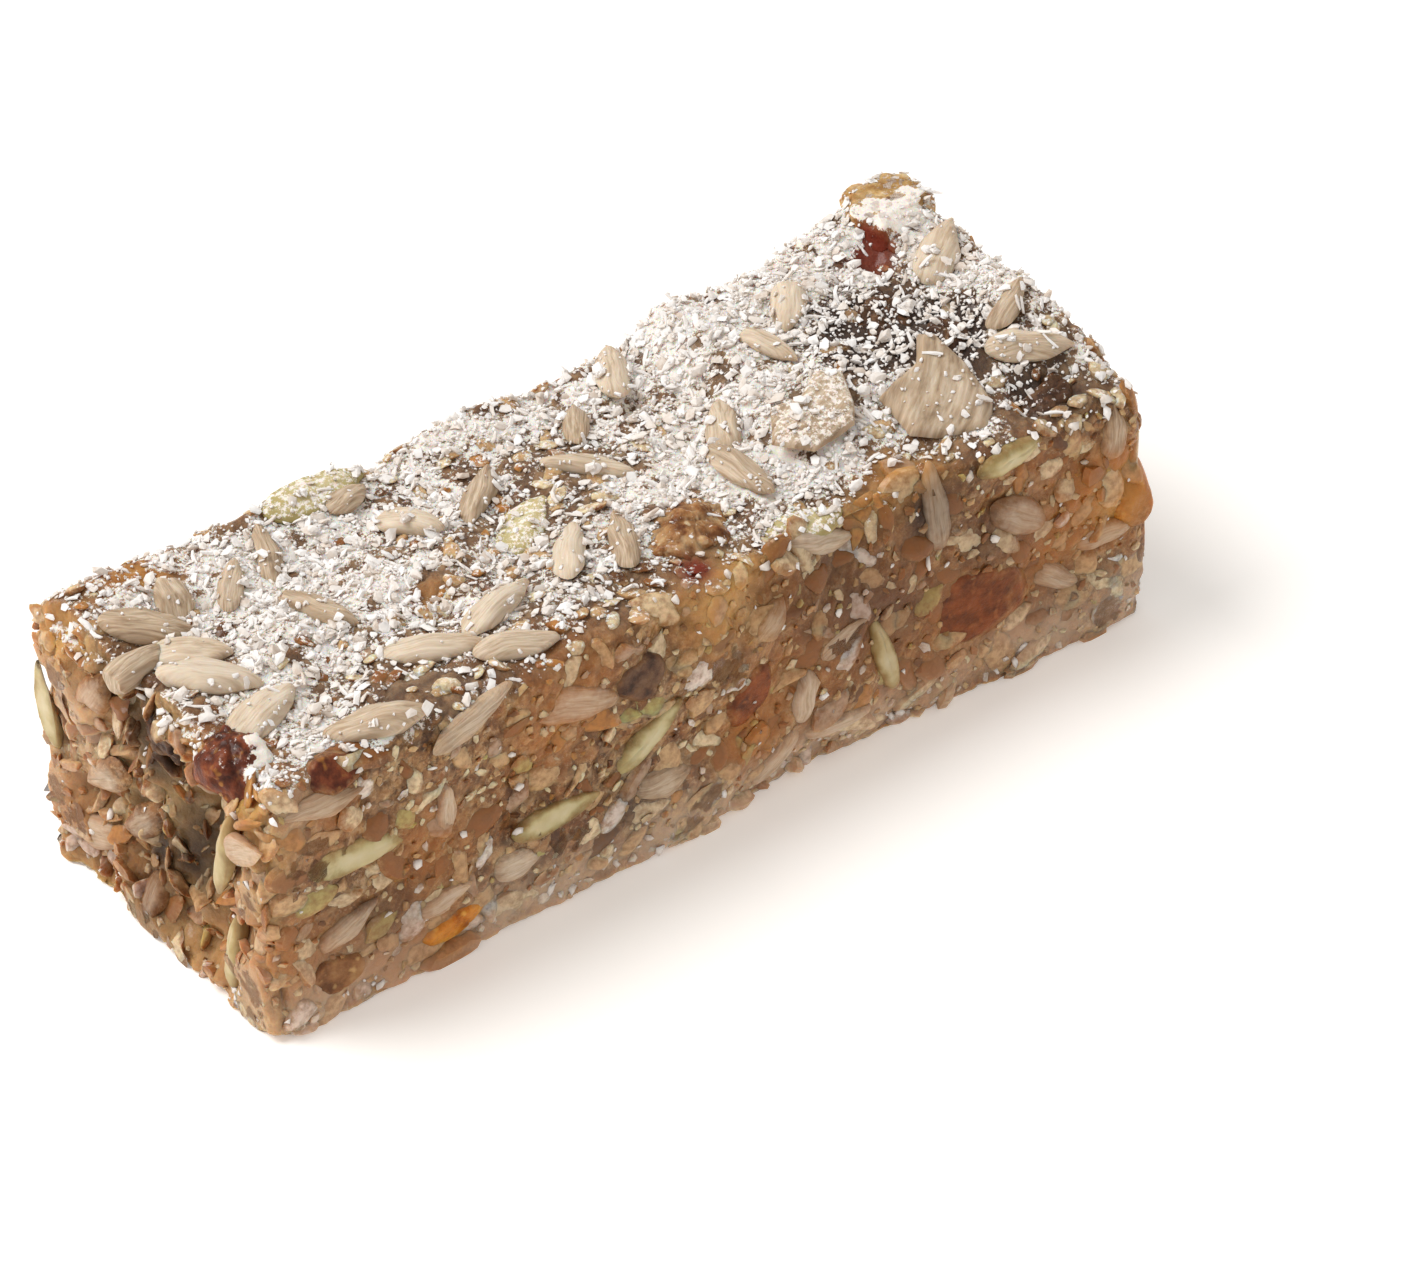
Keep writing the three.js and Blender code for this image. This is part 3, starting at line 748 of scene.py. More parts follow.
def dome_faces(rings, sides):
    """Triangles over rings of points, closed by the first point and the last."""
    last = 1 + rings * sides
    faces = []
    for j in range(sides):
        k = (j + 1) % sides
        faces.append((0, 1 + j, 1 + k))
        faces.append((last, last - sides + k, last - sides + j))
        for i in range(rings - 1):
            a, b = 1 + i * sides + j, 1 + i * sides + k
            faces += [(a, a + sides, b + sides), (a, b + sides, b)]
    return np.array(faces)


def globe(rings, sides):
    """Points and triangles of a ball of radius 1 with its poles on z."""
    points = [(0, 0, 1)]
    for i in range(1, rings):
        tilt = math.pi * i / rings
        for j in range(sides):
            turn = 2 * math.pi * j / sides
            points.append((math.sin(tilt) * math.cos(turn), math.sin(tilt) * math.sin(turn), math.cos(tilt)))
    points.append((0, 0, -1))
    return np.array(points, float), dome_faces(rings - 1, sides)


# --- the slab

CELL = 0.4  # spacing of the slab's surface points
LUMP = 2.3  # size of the pressed lumps
PEBBLE = 1.1  # size of the finer ones between them
CHUNK = 5  # size of the torn chunks of the broken end
CREASE_SPAN = 2  # size of the crumpling
TORN_CREASE_SPAN = 3
CRUMPLING = (0.9, 2.1, 4)  # its kind of noise: how soft, how much finer each octave is, how many
USUAL_REACH = 0.45  # how far a lump's rim is from its middle, as a share of its size
TORN_FROM = 1.5  # how soon a rounded edge counts as part of the broken end

# A usual way to turn a place into a number that looks random
HASH_WAY = np.array([12.9898, 78.233, 37.719])
HASH_SIZE = 43758.5453

# Heights of the relief that the lumps, the finer ones and the crumpling give
RELIEF = (0.5, 0.35, 0.2)
CALMER = 0.1  # how much lower it is on the cut sides
# The same for the chunks, lumps and crumpling of the broken end, and how far all that is sunk
TORN_RELIEF = (2.6, 0.6, 0.9)
TORN_SUNK = 0.5

# How far the underside hangs above the table, and how much more between its lumps
FOOT_GAP = 0.1
FOOT_HOLLOWS = 0.5

PLAIN_SHARE = 0.6  # share of the finer lumps that have the tone of the lump that they are on
CALMER_TONES = 0.2  # how much weaker the tones of the lumps are on the cut sides
FINE_SEAM = 1.5  # how much narrower the seams of the finer lumps are
CUT_SEAM = 0.05  # how far the knife closes the seams
THICKEST_DUST = 1.3
MURK_AND_SHADE_BARES = 0.8  # how much of the powder the dark stains and the painted shade take away

# Small deep holes of the top: x, y, radius, depth
PITS = [
    (10.5, 9.5, 1.3, 1.2), (23.5, 1.5, 1.2, 1), (19, 0, 1.1, 0.9), (-48.5, 1.5, 1, 1.4),
    (38.5, -13.4, 1.8, 1.4), (42.5, -13, 1.8, 1.4), (39.2, 9.6, 1.8, 1.5),
]


def box_grid(low, high, cell):
    """Points and triangles of a box's six sides, with the points of its edges shared."""
    heap = Heap()
    counts = np.round((high - low) / cell).astype(int)
    for axis in range(3):
        a, b = (axis + 1) % 3, (axis + 2) % 3
        i, j = np.meshgrid(np.arange(counts[a] + 1), np.arange(counts[b] + 1), indexing="ij")
        corner = (i * (counts[b] + 1) + j)[:-1, :-1].ravel()
        beyond = corner + counts[b] + 1
        halves = [(corner, beyond, beyond + 1), (corner, beyond + 1, corner + 1)]
        sheet = np.concatenate([np.stack(half, 1) for half in halves])
        for side, faces in ((0, sheet[:, ::-1]), (counts[axis], sheet)):
            steps = np.empty((i.size, 3))
            steps[:, axis] = side
            steps[:, a] = i.ravel()
            steps[:, b] = j.ravel()
            heap.add(steps, faces)
    steps, faces, _ = heap.joined()
    kept, places = np.unique(steps.astype(int), axis=0, return_inverse=True)
    return low + kept * (high - low) / counts, places.ravel()[faces]


def lumps(points, span):
    """Height, seam and a number from 0 to 1 for the pressed lump that each point is on."""
    rows = []
    for point in points:
        near, places = noise.voronoi(Vector(point) / span)
        rows.append((near[0], near[1] - near[0], *places[0]))
    rows = np.array(rows)
    mark = np.sin(rows[:, 2:] @ HASH_WAY) * HASH_SIZE
    return USUAL_REACH - rows[:, 0], rows[:, 1], mark - np.floor(mark)


def crumple(points, span):
    return np.array([noise.fractal(Vector(point) / span, *CRUMPLING) for point in points])


def pits(points, out):
    """Depth of the small holes at each point."""
    deep = np.zeros(len(points))
    for x, y, radius, depth in PITS:
        away = np.hypot(points[:, 0] - x, points[:, 1] - y) / radius
        deep += depth * np.exp(-(away**2)) * np.clip(out[:, 2], 0, 1)
    return deep


def slab_relief(points, out, torn, cut, height, small):
    """How far the surface stands out at each point; height is that of its lump and small that of the
    finer one."""
    lump, finer, crumpled = RELIEF
    relief = (lump * height + finer * small + crumpled * crumple(points, CREASE_SPAN)) * (1 - CALMER * cut)
    big, _, _ = lumps(points, CHUNK)
    chunk, lump, crumpled = TORN_RELIEF
    broken = chunk * big - TORN_SUNK + lump * height + crumpled * crumple(points, TORN_CREASE_SPAN)
    return relief + torn * broken - pits(points, out)


def slab_dust(points, out):
    dust = np.clip(2 * out[:, 2], 0, 1) * coconut_density(points[:, 0], points[:, 1])
    clumps = np.clip([patchy(x, y) for x, y, _ in points], 0, THICKEST_DUST)
    return dust * clumps * (1 - MURK_AND_SHADE_BARES * stain(points, SPOTS["murk_and_shade"]))


def make_slab():
    plain, faces = box_grid(SHOWN_LOW, SLAB_HIGH, CELL)
    out, _ = outward(plain)
    points = skin(plain)
    torn = ease(-TORN_FROM * out[:, 0])
    cut = (1 - np.clip(out[:, 2], 0, 1)) * (1 - torn)
    height, seam, grain = lumps(points, LUMP)
    small, small_seam, small_grain = lumps(points, PEBBLE)
    points = points + out * slab_relief(points, out, torn, cut, height, small)[:, None]
    points[:, 2] = np.maximum(points[:, 2], FOOT_GAP + FOOT_HOLLOWS * np.clip(-height, 0, 1))
    layers = {
        "grain": np.where(small_grain > PLAIN_SHARE, small_grain, grain) * (1 - CALMER_TONES * cut),
        "seam": np.minimum(seam, small_seam * FINE_SEAM) + CUT_SEAM * cut,
        "dust": slab_dust(points, out),
        "torn": torn,
    }
    make_piece("seed_mash", points, faces, mash_look(), "seed_mix", replaced="seed_bar", **layers)
    ground.add(points, faces, "mash")


# --- the seeds

# Kinds of seeds: crown is 2 for a domed top and more for a flatter one, rings are those of the mesh,
# ribs is how close the ribs run, rib_height, crease and dent are depths, and facets are random cuts
KINDS = {
    "lying": dict(crown=2.2, rings=8, ribs=5, rib_height=0.06, crease=0.14, dent=0.2, facets=3),
    "cut": dict(crown=4, rings=6, ribs=4, rib_height=0.04, crease=0.14, dent=0.2, facets=0),
    "pumpkin": dict(crown=3, rings=7, ribs=3, rib_height=0.04, crease=0.14, dent=0.2, facets=0),
    "shard": dict(crown=9, rings=14, ribs=13, rib_height=0.06, crease=0, dent=0.08, facets=0),
}
CREASE_WIDTH = 0.1  # as a share of half the seed's width, as are the next two
CREASE_SHIFT = 0.5  # how far the creases differ in where they run
SEED_BEND = 0.22  # how far the middles of the most bent seeds lie to a side
DENT_SPAN = 1.8  # size of the dents
AXES_APART = (7.3, 1.9)  # keeps the noise that moves x, y and z apart
STREAK_SHIFT = 10  # how far a seed's own number shifts its streaks, its ribs and its dents
RIB_SHIFT = 9
DENT_SHIFT = 40
FACET_RISE = 0.25  # how far the random cuts face up at least
FACET_OUT = (0.7, 0.3)  # how far out they are: the least, and how much more at most
BASE_REACH = 0.75  # how far out and how far down the ring below a pebble's rim is
BASE_DEPTH = 0.65

SLIMMER = 0.84  # the kernels' width, as a share of that of the source's plain ones
LYING_WIDEST = 3.8  # widest kernel whose thickness still follows its width
LYING_FLATNESS = 2.6  # a lying kernel's width to half its thickness
LYING_DUST = 0.1
LYING_SIDES = 26  # corners of a kernel's outline
CUT_KERNEL_SIDES = 24
SEED_TAPER = (0.08, 0.3)  # the least, and how much more at most, as are the next two
SEED_PINCH = (0.1, 0.5)
SNAPPED = (0.45, 0.9)  # how far out a kernel is cut off
PUMPKIN_OUTLINE = dict(sides=28, taper=0.18, pinch=0.35)
CUT_SUNK = 0.85 - PROUD  # how far a cut kernel's middle lies behind its side
CUT_COAT = (0.35, 0.4)  # how much of the syrup hides it: the least, and how much more at most
HOLLOW_SHADE_COAT = 0.4  # how much more of the dark mash colour covers those near the hollow of the broken end, as painted shade of the hollow
HOLLOW_HALF = 9  # and how near that is

# Pumpkin seeds of the top, the cut sides and the broken end: half thickness, how far sunk, dust, coat
PUMPKIN_LYING = (0.9, 0.35, 0.5, 0)
PUMPKIN_CUT = (1, 0.8 - PROUD, 0, 0.65)
PUMPKIN_TORN = (1, 0.8 - PROUD, 0, 0.2)

# Corners of the broken shards, round their middle, as shares of half their length and width
SHARD_CORNERS = [
    [(1, 0.15), (0.75, 0.8), (0.1, 0.7), (-0.35, 1.1), (-1, 0.3), (-0.75, -0.7), (0.1, -1), (0.5, -0.6)],
    [(0.8, -0.45), (1.25, 0.3), (1.15, 0.65), (0.5, 0.6), (-0.1, 1), (-0.5, 1.15), (-1.1, 0.2), (-0.9, -0.65),
     (-0.55, -1.35), (0.1, -1.2)],
]
SHARD_LOOKS = [(0.5, 0.8), (0.1, 1.2)]  # how much powder lies on each, and half its thickness
SHARD_SEAT = 0.9  # how deep the shards reach into the coconut
SHARD_STEPS = 6  # points from one corner to the next


def pebble(outline, rings, crown):
    """A shape with a flat outline: domed on top, shallow below. The crown is 2 for a round dome and
    more for one with a flat top. Gives its points, triangles and how near the rim each point is."""
    sides = len(outline)
    reach = np.sin(np.linspace(0, math.pi / 2, rings + 1))[1:]
    points = [np.array([[0, 0, 1]])]
    rim = [np.zeros(1)]
    for share in reach:
        height = max(1 - share**crown, 0) ** (1 / 2)
        points.append(np.column_stack([outline * share, np.full(sides, height)]))
        rim.append(np.full(sides, share))
    points.append(np.column_stack([outline * BASE_REACH, np.full(sides, -BASE_DEPTH)]))
    points.append(np.array([[0, 0, -1]]))
    rim += [np.full(sides, BASE_REACH), np.zeros(1)]
    return np.concatenate(points), dome_faces(rings + 1, sides), np.concatenate(rim)


def drop_outline(sides, taper, pinch):
    """A seed's outline: round at one end and pointed at the other."""
    turns = np.linspace(0, 2 * math.pi, sides, endpoint=False)
    x = np.cos(turns)
    y = np.sin(turns) * (1 - taper * x) * (1 - pinch * np.clip(x, 0, 1) ** 3)
    return np.column_stack([x, y])


def wrinkle(points, span, depth, shift):
    """Moves points a little, each way on its own."""
    moved = points.copy()
    for axis in range(3):
        offset = Vector((shift, AXES_APART[0] * axis, AXES_APART[1] * axis))
        moved[:, axis] += [depth * noise.noise(Vector(point) / span + offset) for point in points]
    return moved


def cut_off(shape, way, limit):
    """Flattens what lies beyond a plane."""
    over = np.clip(shape @ way - limit, 0, None)
    return shape - over[..., None] * way


def add_seed(heap, kind, place, outline, half_size, dust, coat, draw):
    """Adds one seed to a heap: half_size is half its length, width and thickness, and coat is how
    much of the syrup hides it."""
    face, u, v, turn, sunk = place
    form = KINDS[kind]
    tint = draw()
    shape, faces, rim = pebble(outline, form["rings"], form["crown"])
    local = np.column_stack([shape[:, :2] + np.array([STREAK_SHIFT * tint, 0]), rim])
    aside = shape[:, 1]
    rib = form["rib_height"] * np.cos(form["ribs"] * aside + RIB_SHIFT * tint) * (1 - rim**2)
    from_crease = (aside - CREASE_SHIFT * (tint - 0.5)) / CREASE_WIDTH
    crease = form["crease"] * np.exp(-(from_crease**2)) * (1 - rim**4)
    shape[:, 2] += np.where(shape[:, 2] > 0, rib - crease, 0)
    for _ in range(form["facets"]):
        way = unit(np.array([draw() - 0.5, draw() - 0.5, FACET_RISE + draw()]))
        shape = cut_off(shape, way, FACET_OUT[0] + FACET_OUT[1] * draw())
    shape[:, 1] += SEED_BEND * (tint - 0.5) * (1 - shape[:, 0] ** 2)
    origin, axes = seat_of(face, u, v, turn, sunk)
    sized = wrinkle(shape * np.array(half_size), DENT_SPAN, form["dent"], DENT_SHIFT * tint)
    points = origin + sized @ axes
    same = np.ones(len(points))
    heap.add(points, faces, local=local, tint=same * tint, dust=same * dust, coat=same * coat)
    ground.add(points, faces, kind)


def seed_outline(sides, draw):
    """A drop, some of them with an end snapped off."""
    taper = SEED_TAPER[0] + SEED_TAPER[1] * draw()
    outline = drop_outline(sides, taper, SEED_PINCH[0] + SEED_PINCH[1] * draw())
    bearing = 2 * math.pi * draw()
    snapped = SNAPPED[0] + SNAPPED[1] * draw()
    return cut_off(outline, np.array([math.cos(bearing), math.sin(bearing)]), snapped)


def add_lying_kernel(heap, place, length, width, draw):
    half_size = (length / 2, width / 2, min(width, LYING_WIDEST) / LYING_FLATNESS)
    outline = seed_outline(LYING_SIDES, draw)
    add_seed(heap, "lying", (*place, -STANDING), outline, half_size, LYING_DUST, 0, draw)


def add_cut_kernel(heap, place, length, width, draw):
    face, u, _, _ = place
    in_hollow = face == "left" and abs(u) < HOLLOW_HALF
    # kernels in the hollow of the broken end take on more of the dark mash colour: painted shade
    coat = CUT_COAT[0] + CUT_COAT[1] * draw() + (HOLLOW_SHADE_COAT if in_hollow else 0)
    half_size = (length / 2, width / 2, 1)
    outline = seed_outline(CUT_KERNEL_SIDES, draw)
    add_seed(heap, "cut", (*place, CUT_SUNK), outline, half_size, 0, min(coat, 1), draw)


def make_sunflowers(fill):
    lying, cut = Heap(), Heap()
    draw = make_random(seed=31)
    for face in FILL:
        heap, add_kernel = (lying, add_lying_kernel) if face == "top" else (cut, add_cut_kernel)
        for u, v, turn, length, width in SUNFLOWERS.get(face, []) + fill[face]:
            add_kernel(heap, (face, u, v, turn), length, width * SLIMMER, draw)
    material = sunflower_look()
    lying.make("sunflower_kernels", material, "sunflower_seed", crisp=45)
    cut.make("sunflower_cut", material, "sunflower_seed", crisp=45)


def make_pumpkins():
    heap = Heap()
    draw = make_random(seed=57)
    for face, seeds in PUMPKINS.items():
        thick, sunk, dust, coat = {"top": PUMPKIN_LYING, "left": PUMPKIN_TORN}.get(face, PUMPKIN_CUT)
        for u, v, turn, length, width in seeds:
            outline = drop_outline(**PUMPKIN_OUTLINE)
            half_size = (length / 2, width / 2, thick)
            add_seed(heap, "pumpkin", (face, u, v, turn, sunk), outline, half_size, dust, coat, draw)
    heap.make("pumpkin_kernels", pumpkin_look(), "pumpkin_seed")


def make_shards():
    """Flat broken pieces with ribs."""
    heap = Heap()
    draw = make_random(seed=83)
    for seed, corners, (dust, thick) in zip(SHARDS["top"], SHARD_CORNERS, SHARD_LOOKS):
        u, v, turn, length, width = seed
        closed = np.array(corners + corners[:1])
        steps = np.arange(0, len(corners), 1 / SHARD_STEPS)
        outline = np.column_stack([np.interp(steps, np.arange(len(closed)), closed[:, i]) for i in (0, 1)])
        place = ("top", u, v, turn, thick - SHARD_SEAT)
        add_seed(heap, "shard", place, outline, (length / 2, width / 2, thick), dust, 0, draw)
    heap.make("seed_shards", sunflower_look(), "sunflower_seed", crisp=40)


# --- the fruit

SWOLLEN = 0.25  # how far the fruit fills the gap that the source leaves round it
FOLD = 2.2  # size of its folds
FOLDING = (1, 2, 3)  # their kind of noise, as for the crumpling
FRUIT_SEED = 17
FRUIT_APART = 9.1  # keeps the noise of the fruits apart
FULL_TURN = 6.3
BULGES = (0.07, 0.05)  # how much fuller or slimmer its bulges make it, all round and along its depth
WAVES_ROUND = 4  # how close they are
WAVES_DEEP = 3
FOLD_EDGE = 0.35  # how wide a fold is, along the noise that makes it
CUT_FOLDS = 0.05  # height of the folds on a cut fruit, and on a whole one
WHOLE_FOLDS = 0.6
CREASES = 0.3  # how deep the creases between the folds of a whole one are
CUT_PROUD = 0.3  # how far a cut fruit stands out of its side
CUT_UNEVEN = 0.1  # how uneven its cut is
CUT_SHADE = 0.1  # how dark the painted shade in its folds is, as a share of that on a whole fruit
SKIN_DUST = 0.25  # powder on a whole fruit

# Hollow in the peak fruit: its middle, its reach and its depth
RECESS = (39.9, 10.8, 30.6)
RECESS_REACH = 2
RECESS_DEPTH = 1.3

# Sides of fruit that powder covers: the way to that side, and how far along it the powder starts
COATED = {
    "peak_fruit": ((-0.3, -0.6, -0.75), -46.3),
    "cranberry_corner": ((0.77, -0.64, -0.2), -33.4),
}
COAT_RAGGED = 3.2  # how far the folds shift the powder's edge
COAT_FADE = 1.4  # how wide that edge is


def fruit_shape(shape, index, half_size, is_cut, sunk):
    """A wrinkled body round the origin, with the noise of its folds and how deep in them each point is."""
    draw = make_random(FRUIT_SEED * (2 + index))
    turns = [FULL_TURN * draw() for _ in range(3)]
    x, y, z = shape.T
    swollen = 1 + BULGES[0] * np.sin(WAVES_ROUND * x + turns[0]) * np.sin(WAVES_ROUND * y + turns[1])
    swollen += BULGES[1] * np.sin(WAVES_DEEP * z + turns[2])
    sized = shape * swollen[:, None] * (np.array(half_size) + SWOLLEN)
    shift = Vector((FRUIT_APART * index, 0, 0))
    folds = np.array([noise.fractal(Vector(point) / FOLD + shift, *FOLDING) for point in sized])
    fold = (1 - np.abs(folds) / FOLD_EDGE).clip(0, 1)
    sized += unit(sized) * (CUT_FOLDS * folds if is_cut else WHOLE_FOLDS * folds - CREASES * fold)[:, None]
    if is_cut:
        sized[:, 2] = np.minimum(sized[:, 2], sunk + CUT_PROUD + CUT_UNEVEN * folds)
    return sized, folds, fold


def fruit_dust(name, points, folds, is_cut):
    dust = np.full(len(points), 0.0 if is_cut else SKIN_DUST)
    if name in COATED:
        way, limit = COATED[name]
        covered = ease((points @ np.array(way) + COAT_RAGGED * folds - limit) / COAT_FADE)
        dust += covered * (1 - stain(points, SPOTS["red"]))
    return dust


def make_fruit():
    looks = {}
    shape, faces = globe(rings=36, sides=60)
    for index, (name, row) in enumerate(FRUIT.items()):
        face, u, v, turn, long, wide, deep, sunk = row
        is_cut = face in CUT_SIDES
        sized, folds, fold = fruit_shape(shape, index, (long, wide, deep), is_cut, sunk)
        origin, axes = seat_of(face, u, v, turn, sunk)
        points = origin + sized @ axes
        if name == "peak_fruit":
            away = np.linalg.norm(points - np.array(RECESS), axis=1) / RECESS_REACH
            points -= np.outer(RECESS_DEPTH * np.exp(-(away**2)), axes[2])
        kind = name.split("_")[0]
        look = "cut_" + kind if is_cut and "cut_" + kind in FRUIT_LOOKS else kind
        if look not in looks:
            looks[look] = fruit_look(look, *FRUIT_LOOKS[look])
        layers = {
            "dust": fruit_dust(name, points, folds, is_cut),
            # where the painted shade of the folds goes
            "fold": fold * (CUT_SHADE if is_cut else 1),
            "rim": (shape[:, 0] ** 2 + shape[:, 1] ** 2) * is_cut,
        }
        slot = "peak_fruit" if kind == "peak" else kind
        make_piece(name + "_skin", points, faces, looks[look], slot, replaced=name, **layers)
        ground.add(points, faces, kind)


# --- crumbs

FOOT_BAND = 4  # height up to which the crumbs have the tones of the foot
TOP_DUST = 0.4  # powder on the crumbs of the top

# Faces with crumbs: u from and to, v from and to, how well the ground has to face outward for one, how
# far they are tilted by chance, and their tones
CRUMB_FACES = {
    "top": (-49, 49, -17.5, 17.5, 0.3, 0.1, TOP),
    "front": (-49, 49, 0.8, 26, 0.3, 0.1, SIDE),
    "back": (-49, 49, 0.8, 26, 0.3, 0.1, SIDE),
    "left": (-17.5, 17.5, 0.8, 26, 0.45, 0.8, TORN),
    "right": (-17.5, 17.5, 0.8, 27, 0.3, 0.1, SIDE),
    "bottom": (-48.5, 48.5, -17.5, 17.5, 0.95, 0.1, SIDE),
}

# Layers of crumbs: spacing, least and most width, least and most length to width, thickness to width,
# how far they stand out, faces, and how far their turn is left to chance
FIRST_CRUMBS = {
    "seed_splinters": (2.1, (1.2, 3), (1.2, 2.2), 0.5, 0.7, ("left",), 1),
    "seed_chips": (3.1, (1.6, 3.8), (1.2, 2.3), 0.5, 0.15, (*CUT_SIDES, "bottom"), 0.8),
}
LATER_CRUMBS = {
    "seed_crumbs": (1.4, (0.45, 1.3), (1, 1.7), 0.7, 0.3, CUT_SIDES, 3),
    "torn_crumbs": (1.3, (0.5, 1.4), (1, 1.7), 0.7, 0.25, ("left",), 3),
    "top_crumbs": (2.3, (0.8, 2.4), (1, 2), 0.5, 0.35, ("top",), 3),
    "base_crumbs": (1.9, (0.8, 1.7), (1, 1.7), 0.7, 0.25, ("bottom",), 3),
}

# Shapes of crumbs and chips: how far out they are cut, taper and pinch of the chips' outlines, size
# and depth of the dents, and the span of the noise that the dents are picked from
BALL_CUTS = (0.45, 0.8)
CHIP_CUTS = (0.35, 0.8)
CHIP_TAPER = (0, 0.35)
CHIP_PINCH = (0, 0.5)
CHIP_DENT = 0.16
CRUMB_DENT_SPAN = 0.9
CHANCE_SPAN = 50
STANDS_OUT = (0.5, 1.3)  # least and most that a crumb stands out, as a share of what its layer does


def strewn(face, spacing, rng):
    """Places over a face, about evenly spaced, as rows of u and v."""
    low_u, high_u, low_v, high_v = CRUMB_FACES[face][:4]
    u, v = np.meshgrid(np.arange(low_u, high_u, spacing), np.arange(low_v, high_v, spacing))
    places = np.column_stack([u.ravel(), v.ravel()])
    places += rng.uniform(0, spacing, places.shape)
    return places[(places[:, 0] < high_u) & (places[:, 1] < high_v)]


def ball_templates(count, subdivisions, rng, cuts=4, dent=0.25):
    """Crumbs: balls cut by planes and dented. Gives their points, triangles and rims."""
    points, faces = ball(subdivisions)
    shapes = []
    for _ in range(count):
        shape = points
        for _ in range(cuts):
            shape = cut_off(shape, unit(rng.normal(size=3)), rng.uniform(*BALL_CUTS))
        shapes.append(wrinkle(shape, CRUMB_DENT_SPAN, dent, rng.uniform(0, CHANCE_SPAN)))
    shapes = np.array(shapes)
    return shapes, faces, np.clip(1 - shapes[:, :, 2], 0, 1) ** 2


def chip_templates(count, rng):
    """Chips of seeds, cut flat by the knife. Gives their points, triangles and rims."""
    shapes = []
    for _ in range(count):
        outline = drop_outline(16, rng.uniform(*CHIP_TAPER), rng.uniform(*CHIP_PINCH))
        for _ in range(rng.integers(0, 3)):
            bearing = rng.uniform(0, 2 * math.pi)
            way = np.array([math.cos(bearing), math.sin(bearing)])
            outline = cut_off(outline, way, rng.uniform(*CHIP_CUTS))
        shape, faces, rim = pebble(outline, rings=3, crown=4)
        shapes.append(wrinkle(shape, CRUMB_DENT_SPAN, CHIP_DENT, rng.uniform(0, CHANCE_SPAN)))
    return np.array(shapes), faces, np.tile(rim**3, (count, 1))


def spread(heap, templates, seats, sizes, tints, dust, tilt, guide, spin, rng):
    """Adds one small shape to a heap for each seat, which is a point and the way out of the ground.
    Each shape points along the guide, turned by chance as far as spin allows."""
    shapes, faces, rims = templates
    origins = np.array([seat[0] for seat in seats])
    outs = unit(np.array([seat[1] for seat in seats]) + tilt * rng.normal(size=origins.shape))
    aside = unit(np.cross(outs, np.array(guide) + spin * rng.normal(size=origins.shape)))
    along = np.cross(aside, outs)
    picked = rng.integers(len(shapes), size=len(seats))
    axes = np.stack([along, aside, outs], 1)
    points = origins[:, None, :] + np.einsum("nvi,nij->nvj", shapes[picked] * sizes[:, None, :], axes)
    corners = shapes.shape[1]
    starts = corners * np.arange(len(seats))
    all_faces = (faces[None] + starts[:, None, None]).reshape(-1, 3)
    all_points = points.reshape(-1, 3)
    layers = {"tint": np.repeat(tints, corners), "dust": np.repeat(dust, corners)}
    heap.add(all_points, all_faces, rim=rims[picked].ravel(), **layers)
    return all_points, all_faces


def lifted(seats, heights):
    """Seats moved along their ways out."""
    return [(np.array(p) + h * np.array(n), np.array(n)) for (p, n), h in zip(seats, heights)]


def pick_tones(place, count, rng):
    """The tones of crumbs, as numbers from 0 to 1."""
    weights = np.array([shares[place] for shares in CRUMB_TONES.values()], float)
    picked = rng.choice(len(weights), count, p=weights / weights.sum())
    return (picked + 0.5) / len(weights)


def crumb_seats(face, spacing, least_facing, rng):
    """Places for crumbs on a face, where the mash shows."""
    normal = Vector(FACES[face][2])
    seats = []
    for u, v in strewn(face, spacing, rng):
        if face == "top" and rng.random() < coconut_density(u, v):
            continue
        landed = ground.land(face, u, v)
        if landed and landed[2] == "mash" and landed[1].dot(normal) > least_facing:
            seats.append(landed[:2])
    return seats


def press_crumbs(name, templates, row, rng):
    """Presses one layer of crumbs into its faces."""
    spacing, widths, slender, flat, proud, faces, spin = row
    heap = Heap()
    for face in faces:
        least_facing, tilt, place = CRUMB_FACES[face][4:]
        seats = crumb_seats(face, spacing, least_facing, rng)
        count = len(seats)
        half = rng.uniform(*widths, count) / 2
        sizes = np.column_stack([half * rng.uniform(*slender, count), half, half * flat])
        seats = lifted(seats, rng.uniform(*STANDS_OUT, count) * proud - sizes[:, 2])
        tones = pick_tones(place, count, rng)
        heights = np.array([point[2] for point, _ in seats])
        tones = np.where(heights < FOOT_BAND, pick_tones(AT_FOOT, count, rng), tones)
        dust = np.full(count, TOP_DUST if face == "top" else 0)
        guide = FACES[face][0]
        points, triangles = spread(heap, templates, seats, sizes, tones, dust, tilt, guide, spin, rng)
        ground.add(points, triangles, "crumb")
    heap.make(name, crumb_look(), "seed_mix", crisp=38)


def make_crumbs():
    rng = np.random.default_rng(seed=11)
    chips = chip_templates(count=24, rng=rng)
    crumbs = ball_templates(count=14, subdivisions=1, rng=rng)
    lumps_of_top = ball_templates(count=14, subdivisions=2, rng=rng)
    splinters = ball_templates(count=18, subdivisions=3, rng=rng, cuts=9, dent=0.3)
    templates = {"seed_splinters": splinters, "seed_chips": chips, "top_crumbs": lumps_of_top}
    for layers in (FIRST_CRUMBS, LATER_CRUMBS):
        for name, row in layers.items():
            press_crumbs(name, templates.get(name, crumbs), row, rng)
        ground.settle()


# --- coconut

CLUMP = 3.4  # size of the coconut's clumps
CLUMPING = (0.8, 2.2, 3)  # their kind of noise, as for the crumpling
USUAL_CLUMP = 0.95
SHARE = 0.66  # share of the top that coconut covers, where the places below don't change it
LEAST_SHARE = 0.03

